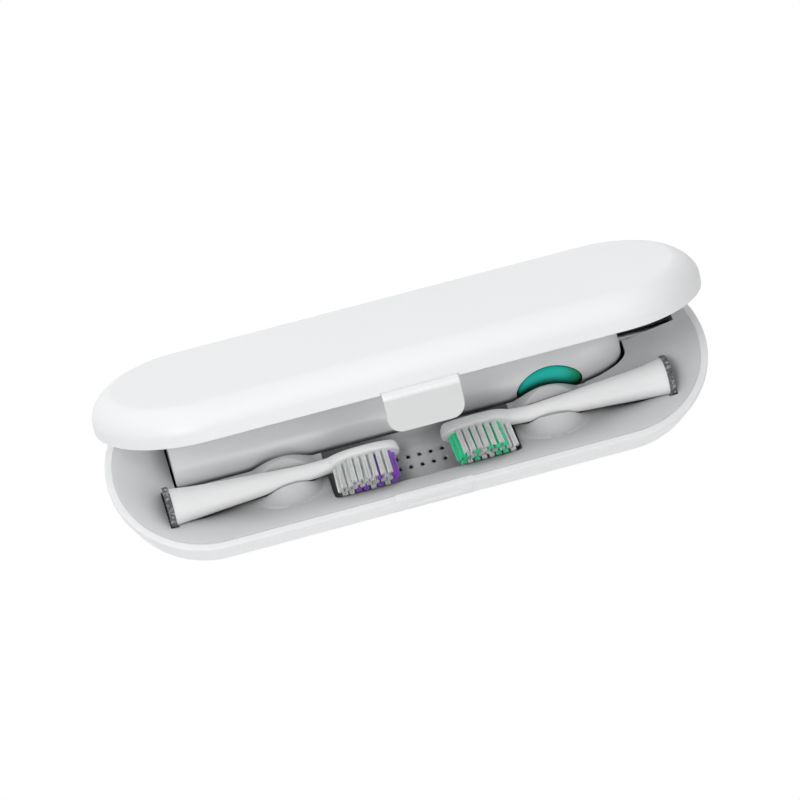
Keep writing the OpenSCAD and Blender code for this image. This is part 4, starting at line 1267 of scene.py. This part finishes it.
@dataclass
class BrushHead:
    """One brush head: body, ring, sleeve and tufts."""

    wardrobe: Wardrobe
    side: Side
    at: tuple[float, float, float]
    tint: Finish
    rows: tuple[str, ...]
    colour_node: str
    length: float = 84.8
    ring_width: float = 2.1
    ring_radius: float = RING_RADIUS
    base_radius: float = BASE_RADIUS
    neck_radius: float = 2.75
    plate_length: float = 26.0
    plate_width: float = 12.2
    plate_front: float = 1.3
    plate_back: float = 3.4
    plan_power: float = 2.4
    blend: float = 5.0
    approach: float = 6.0
    neck_end: float = 6.0
    flattening: float = 14.0
    tip_round: float = 2.2
    tip_front: float = 0.25
    tip_back: float = 0.1
    square_back: float = 0.12
    square_front: float = 0.55
    around: int = 64
    ring_bore: float = 5.75
    socket: tuple[tuple[float, float], ...] = ((2.1, 22.0), (5.7, 3.9))
    teeth: int = 36
    tooth_depth: float = 0.1
    bristle_length: float = 10.5
    pitch: float = 2.6
    row_pitch: float = 2.0
    tuft_radius: float = 0.92
    filament_levels: tuple[float, ...] = (0, 0.35, 0.7, 0.94, 0.985, 1.0)
    filament_radii: tuple[float, ...] = (0.17, 0.168, 0.165, 0.16, 0.12, 0.05)
    filament_sides: int = 6
    filament_lean: float = 0.06
    tuft_lean: float = 0.08
    spread: float = 0.1
    slant: float = 0.0
    tuft_shift: float = 0.8
    trim: tuple[float, ...] = (-2.2, 0.3, -0.4, -0.4, -0.8)

    def place(self, piece: bpy.types.Object) -> None:
        """Mirrors the right head and moves its mesh to its place."""
        mirror = Matrix.Scale(-1, 4, Vector((1, 0, 0))) if self.side is Side.RIGHT else Matrix.Identity(4)
        piece.data.transform(Matrix.Translation(Vector(self.at) * MM) @ mirror)
        if self.side is Side.RIGHT:
            piece.data.flip_normals()

    def taper(self, x: Array) -> Array:
        """Radius of the body at a distance from the base, by smooth interpolation of the measured radii."""
        share = (x - self.ring_width) / (self.length - self.plate_length - self.ring_width)
        fall = monotone(np.array(TAPER_PLACES), np.array(TAPER_FALLS), np.clip(share, 0, 1))
        return self.base_radius - (self.base_radius - self.neck_radius) * fall

    def build_body(self) -> bpy.types.Object:
        """Makes the body as one loft along X.

        A section has the half height b, the depth f in front of the axis and the depth k behind it.
        The plate's plan is the superellipse |u|^p + |b / b0|^p = 1, which a smooth maximum joins to
        the neck's radius. A point at angle t is (b sgn(sin t) |sin t|^n, depth sgn(cos t) |cos t|^n).
        """
        start, middle = self.length - self.plate_length, self.length - self.plate_length / 2
        bend = np.radians(np.linspace(0, 90, 40))[1:]
        begin, n = start - self.approach, self.around
        x = np.concatenate([np.linspace(self.ring_width, begin, 40),
                            np.linspace(begin, middle, 60)[1:],
                            middle + self.plate_length / 2 * np.sin(bend)])
        r = self.taper(x)
        u = np.clip(np.abs(x - middle) / (self.plate_length / 2), 0, 1)
        plan = self.plate_width / 2 * (1 - u ** self.plan_power) ** (1 / self.plan_power)
        plan = np.where(x < start, 0, plan)
        neck = np.where(x > middle, 0, r * np.clip((middle - x) / self.neck_end, 0, 1))
        b = (neck ** self.blend + plan ** self.blend) ** (1 / self.blend)
        wide = smooth_step((x - start + self.flattening / 2) / self.flattening)
        end = ((x - self.length + self.tip_round) / self.tip_round).clip(0)
        tip = np.sqrt(np.clip(1 - end ** 2, 0, 1))
        depths = ((self.plate_front, self.tip_front), (self.plate_back, self.tip_back))
        front, back = ((r + (depth - r) * wide) * (least + (1 - least) * tip) for depth, least in depths)
        t = np.linspace(0, 2 * np.pi, n, endpoint=False)[None, :]
        c, q = np.cos(t), np.sin(t)
        power = 1 - np.where(c > 0, self.square_back, self.square_front) * wide[:, None]
        zz = b[:, None] * np.sign(q) * np.abs(q) ** power
        yy = np.where(c > 0, back[:, None], front[:, None]) * np.sign(c) * np.abs(c) ** power
        outer = np.stack([x[:, None] + 0 * t, yy, zz], -1)
        inner_x = np.linspace(self.socket[0][1], self.socket[0][0], 12)
        inner_r = np.interp(inner_x, *self.socket)
        hollow = np.stack([inner_x[:, None] + 0 * t, inner_r[:, None] * c, inner_r[:, None] * q], -1)
        rows, deep, inside = len(x), len(inner_x), len(x) * n
        faces = grid_faces(rows, n, False, True).tolist()
        faces += grid_faces(deep, n, False, True, inside).tolist()
        faces += ring_joint(0, inside + (deep - 1) * n, n).tolist()
        faces.append(list(range(inside, inside + n)))
        faces.append(list(range((rows - 1) * n, rows * n)))
        points = np.concatenate([outer.reshape(-1, 3), hollow.reshape(-1, 3)])
        body = make_mesh(f"{self.side.value}_head", points, faces, sharp_degrees=55)
        self.place(body)
        self.wardrobe.dress(body, Finish.HEAD)
        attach(body, f"{self.side.value}_head")
        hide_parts(f"{self.side.value}_head_body")
        return body

    def build_ring(self) -> bpy.types.Object:
        """Makes the ring: a band whose radius carries n shallow teeth, r = R - d + d cos n t."""
        t = np.linspace(0, 2 * np.pi, 8 * self.teeth, endpoint=False)[:, None]
        width, outside, bore = self.ring_width, self.ring_radius, self.ring_bore
        outline = rounded([(0, bore, 0), (0, outside, 0.35), (width, outside, 0.35), (width, bore, 0)], 4)
        x, r = outline[None, :, 0], outline[None, :, 1]
        r = r + np.where(r > outside - 1.1, self.tooth_depth * np.cos(self.teeth * t) - self.tooth_depth, 0)
        points = np.stack([x + 0 * t, r * np.sin(t), r * np.cos(t)], -1)
        faces = grid_faces(8 * self.teeth, len(outline), True, True)
        ring = make_mesh(f"{self.side.value}_toothed_ring", points, faces.tolist(), sharp_degrees=50)
        self.place(ring)
        self.wardrobe.dress(ring, Finish.RING)
        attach(ring, f"{self.side.value}_head")
        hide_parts(f"{self.side.value}_head_ring")
        return ring

    def strands(self, letter: str) -> tuple[Array, Any]:
        """Filaments of every tuft of one colour.

        Args:
            letter: the colour's letter in the map of tufts.

        Returns:
            Points and faces. A tuft has 19 filaments in rings of 1, 6 and 12, each a tapered tube of
            six sides with a domed tip, which leans outwards a little towards its tip.
        """
        places = [(i, j) for j, row in enumerate(self.rows) for i, mark in enumerate(row) if mark == letter]
        ij = np.array(places, float)
        middle = self.length - self.plate_length / 2
        tx = middle + self.tuft_shift + (ij[:, 0] - (len(self.rows[0]) - ij[:, 1] % 2) / 2) * self.pitch
        tz = (ij[:, 1] - (len(self.rows) - 1) / 2) * self.row_pitch
        ring = [(0.0, 0.0), *((0.5, a) for a in range(0, 360, 60)),
                *((1.0, a + 15) for a in range(0, 360, 30))]
        rr = np.array([p[0] for p in ring]) * (self.tuft_radius - 0.16)
        aa = np.radians([p[1] for p in ring])
        seed = np.random.default_rng(7)
        shape = (len(places), len(ring))
        ox, oz = tx[:, None] + rr * np.cos(aa), tz[:, None] + rr * np.sin(aa)
        one, whole, tuft = self.filament_lean, self.tuft_lean, (len(places), 1)
        lean_x, lean_z = (self.spread * out + seed.normal(0, one, shape) + seed.normal(0, whole, tuft)
                          for out in (rr * np.cos(aa), rr * np.sin(aa)))
        lean_x = lean_x + self.slant
        trim = np.array(self.trim)[ij[:, 1].astype(int)][:, None]
        reach = self.bristle_length - 0.15 + trim + seed.normal(0, 0.1, shape)
        level, thick = np.array(self.filament_levels), np.array(self.filament_radii)
        sides = self.filament_sides
        t = np.linspace(0, 2 * np.pi, sides, endpoint=False)
        x = ox[..., None, None] + (lean_x[..., None] * level)[..., None] + thick[:, None] * np.cos(t)
        z = oz[..., None, None] + (lean_z[..., None] * level)[..., None] + thick[:, None] * np.sin(t)
        y = -(reach[..., None] * level)[..., None] + 0.3 - self.plate_front + 0 * t
        points = np.stack([x, y, z], -1).reshape(-1, 3)
        start = (np.arange(ox.size) * sides * len(level))[:, None]
        faces = (grid_faces(len(level), sides, False, True)[None] + start[:, None]).reshape(-1, 4).tolist()
        caps = (np.arange(sides * (len(level) - 1), sides * len(level))[None] + start).tolist()
        roots = (np.arange(sides - 1, -1, -1)[None] + start).tolist()
        return points, faces + caps + roots

    def build_tufts(self) -> list[bpy.types.Object]:
        """Makes the white and the coloured filaments."""
        made = []
        name = self.side.value
        for letter, finish, node in (("w", Finish.WHITE_NYLON, f"{name}_white_bristles"),
                                     ("c", self.tint, self.colour_node)):
            points, faces = self.strands(letter)
            mesh = bpy.data.meshes.new(f"{node}_filaments")
            mesh.from_pydata((points * MM).tolist(), [], faces)
            mesh.polygons.foreach_set("use_smooth", np.ones(len(mesh.polygons), bool))
            piece = link(f"{node}_filaments", mesh)
            self.place(piece)
            self.wardrobe.dress(piece, finish)
            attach(piece, f"{name}_head")
            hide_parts(node)
            made.append(piece)
        return made

    def build(self) -> list[bpy.types.Object]:
        """Makes the whole head and dresses its sleeve."""
        self.wardrobe.dress(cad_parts[f"{self.side.value}_head_socket"], Finish.SLEEVE)
        return [self.build_body(), self.build_ring(), *self.build_tufts()]


def smooth_step(v: Array) -> Array:
    """Smooth step 3 v^2 - 2 v^3, level below 0 and above 1."""
    v = np.clip(v, 0, 1)
    return v * v * (3 - 2 * v)


def monotone(x: Array, y: Array, at: Array) -> Array:
    """Smooth curve through points without overshoot.

    Args:
        x: places of the points, rising.
        y: values at the points.
        at: places to read.

    Returns:
        Cubic pieces whose slopes at the points are the harmonic means of the slopes on both sides.
    """
    h = np.diff(x)
    d = np.diff(y) / h
    inner = np.where(d[:-1] * d[1:] > 0, 2 * d[:-1] * d[1:] / (d[:-1] + d[1:] + 1e-12), 0)
    m = np.concatenate([[d[0]], inner, [d[-1]]])
    k = np.clip(np.searchsorted(x, at, side="right") - 1, 0, len(h) - 1)
    t = (at - x[k]) / h[k]
    return ((2 * t ** 3 - 3 * t ** 2 + 1) * y[k] + (t ** 3 - 2 * t ** 2 + t) * h[k] * m[k]
            + (-2 * t ** 3 + 3 * t ** 2) * y[k + 1] + (t ** 3 - t ** 2) * h[k] * m[k + 1])


# Floor, lamps and camera


@dataclass
class Studio:
    """Pale floor, soft lamps and the camera at the photograph's angle."""

    level: float = 27.0
    lens: float = 173.4
    sensor: float = 36.0
    clip: tuple[float, float] = (0.05, 20.0)
    aim: tuple[float, float, float] = (0.0, 0.0, 0.02)
    camera_at: tuple[float, float, float] = (-154.2, -645.8, 1194.4)
    right: tuple[float, float, float] = (0.9607, -0.2762, -0.0277)
    up: tuple[float, float, float] = (0.2543, 0.8357, 0.4869)
    ahead: tuple[float, float, float] = (0.1114, 0.4748, -0.8731)
    sky: tuple[Any, ...] = (((0, 1, 0.5), 0.71), ((-1, 1, 0.7), 0.87), ((1, -1, 0.7), 0.4), ((0, 0, 1), 0.08))
    sky_power: float = 3.0
    lamps: tuple[Any, ...] = (("beside_camera", (-0.45, -0.35, 1.1), 0.4, 5.2),
                              ("low_front", (0.0, -1.0, 0.35), 0.4, 1.5),
                              ("right_front", (0.6, -0.6, 0.8), 0.4, 1.15),
                              ("overhead", (0.0, 0.1, 1.1), 0.5, 2.0))
    floor_half: float = 4000.0
    floor_gap: float = 0.02
    mirrored: float = 0.9

    def build_floor(self) -> bpy.types.Object:
        """Makes the floor: a wide flat sheet, white to the camera and a plain matt white to the lamps."""
        u = self.floor_half * np.linspace(-1, 1, 25)
        a, b = np.meshgrid(u, u, indexing="ij")
        points = np.stack([a, b, 0 * a - self.floor_gap], -1)
        floor = make_mesh("floor", points, grid_faces(25, 25, False, False).tolist())
        make = Recipe("pale_paper_floor")
        shade = make.add("BsdfDiffuse", {"Color": linear("ffffff")})
        glow = make.add("Emission", {"Color": linear("ffffff"), "Strength": 1.0})
        path = make.add("LightPath").outputs
        glossy = make.add("Math", {"operation": "MULTIPLY", 1: self.mirrored}, {0: path["Is Glossy Ray"]})
        share = make.add("Math", {"operation": "MAXIMUM"}, {0: path["Is Camera Ray"], 1: glossy.outputs[0]})
        mix = make.add("MixShader", links={0: share.outputs[0], 1: shade.outputs[0], 2: glow.outputs[0]})
        make.add("OutputMaterial", links={"Surface": mix.outputs[0]})
        floor.data.materials.append(make.material)
        return floor

    def lamp(self, name: str, at: tuple[float, float, float], size: float, watts: float) -> None:
        """Adds a square area lamp that faces the case.

        Args:
            name: the lamp's name.
            at: its place in metres.
            size: its side in metres.
            watts: its strength.
        """
        data = bpy.data.lights.new(name, "AREA")
        data.size, data.energy = size, watts
        lamp = link(name, data)
        lamp.location = at
        lamp.rotation_euler = (Vector(self.aim) - Vector(at)).to_track_quat("-Z", "Y").to_euler()

    def build_world(self) -> None:
        """Makes the sky: broad soft lights, and white to the camera.

        Each light is its strength x (cosine of the angle to its middle)^sky_power, above zero.
        """
        world = bpy.data.worlds.new("soft_studio")
        world.use_nodes = True
        tree = world.node_tree
        tree.nodes.clear()

        def maths(operation: str, first: Any, second: Any) -> Any:
            """Adds a sum of two sockets, or of a socket and a number."""
            fixed = {1: second} if isinstance(second, float) else {}
            joined = {} if fixed else {1: second}
            node = add_node(tree, "ShaderNodeMath", {"operation": operation, **fixed}, {0: first, **joined})
            return node.outputs[0]

        place = add_node(tree, "ShaderNodeTexCoord").outputs["Generated"]
        total = None
        for way, strength in self.sky:
            settings = {"operation": "DOT_PRODUCT", 1: Vector(way).normalized()}
            cosine = add_node(tree, "ShaderNodeVectorMath", settings, {0: place}).outputs["Value"]
            lobe = maths("POWER", maths("MAXIMUM", cosine, 0.0), self.sky_power)
            part = maths("MULTIPLY", lobe, strength)
            total = part if total is None else maths("ADD", total, part)
        path = add_node(tree, "ShaderNodeLightPath").outputs["Is Camera Ray"]
        soft = add_node(tree, "ShaderNodeBackground", {"Color": linear("ffffff")}, {"Strength": total})
        white = add_node(tree, "ShaderNodeBackground", {"Color": linear("ffffff"), "Strength": 1.0})
        mix = add_node(tree, "ShaderNodeMixShader", links={0: path, 1: soft.outputs[0], 2: white.outputs[0]})
        add_node(tree, "ShaderNodeOutputWorld", links={"Surface": mix.outputs[0]})
        bpy.context.scene.world = world

    def build(self) -> None:
        """Sets the floor, the world, the lamps, the camera and the view."""
        scene = bpy.context.scene
        self.build_floor()
        self.build_world()
        for name, at, size, watts in self.lamps:
            self.lamp(name, at, size, watts)
        data = bpy.data.cameras.new("camera")
        data.lens, data.sensor_width = self.lens, self.sensor
        data.clip_start, data.clip_end = self.clip
        camera = link("camera", data)
        r, u, f = (np.array(v) / np.linalg.norm(v) for v in (self.right, self.up, self.ahead))
        turned = Matrix([[r[k], u[k], -f[k]] for k in range(3)]).to_4x4()
        place = (Vector(self.camera_at) + Vector((0, 0, self.level))) * MM
        camera.matrix_world = Matrix.Translation(place) @ turned
        scene.camera = camera
        scene.view_settings.view_transform = "Standard"


def main() -> None:
    """Builds the sub-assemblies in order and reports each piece."""
    logging.basicConfig(level=logging.INFO, format="%(name)s: %(message)s")
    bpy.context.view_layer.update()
    wardrobe = Wardrobe()
    Studio().build()
    groups = [
        Case(wardrobe), Tray(wardrobe), Lid(wardrobe), Handle(wardrobe),
        BrushHead(wardrobe, Side.LEFT, (HEAD_BASES[0], *HEAD_AXIS), Finish.VIOLET_NYLON,
                  (" wwwwwww ", "wwccwcwc ", "wwwwwwwwc", "wwwwwcwc ", "  wwwwww "),
                  "left_violet_bristles", slant=-0.3),
        BrushHead(wardrobe, Side.RIGHT, (HEAD_BASES[1], *HEAD_AXIS), Finish.GREEN_NYLON,
                  (" wwwwwww ", "wccwwcwc ", "wwwwwwwcc", " cccwcwc ", "  wwwwww "),
                  "right_green_bristles", plate_back=4.2, bristle_length=10.55, slant=-0.6),
    ]
    for group in groups:
        for piece in group.build():
            log.info("%s: %d faces", piece.name, len(piece.data.polygons))


if __name__ == "__main__":
    main()
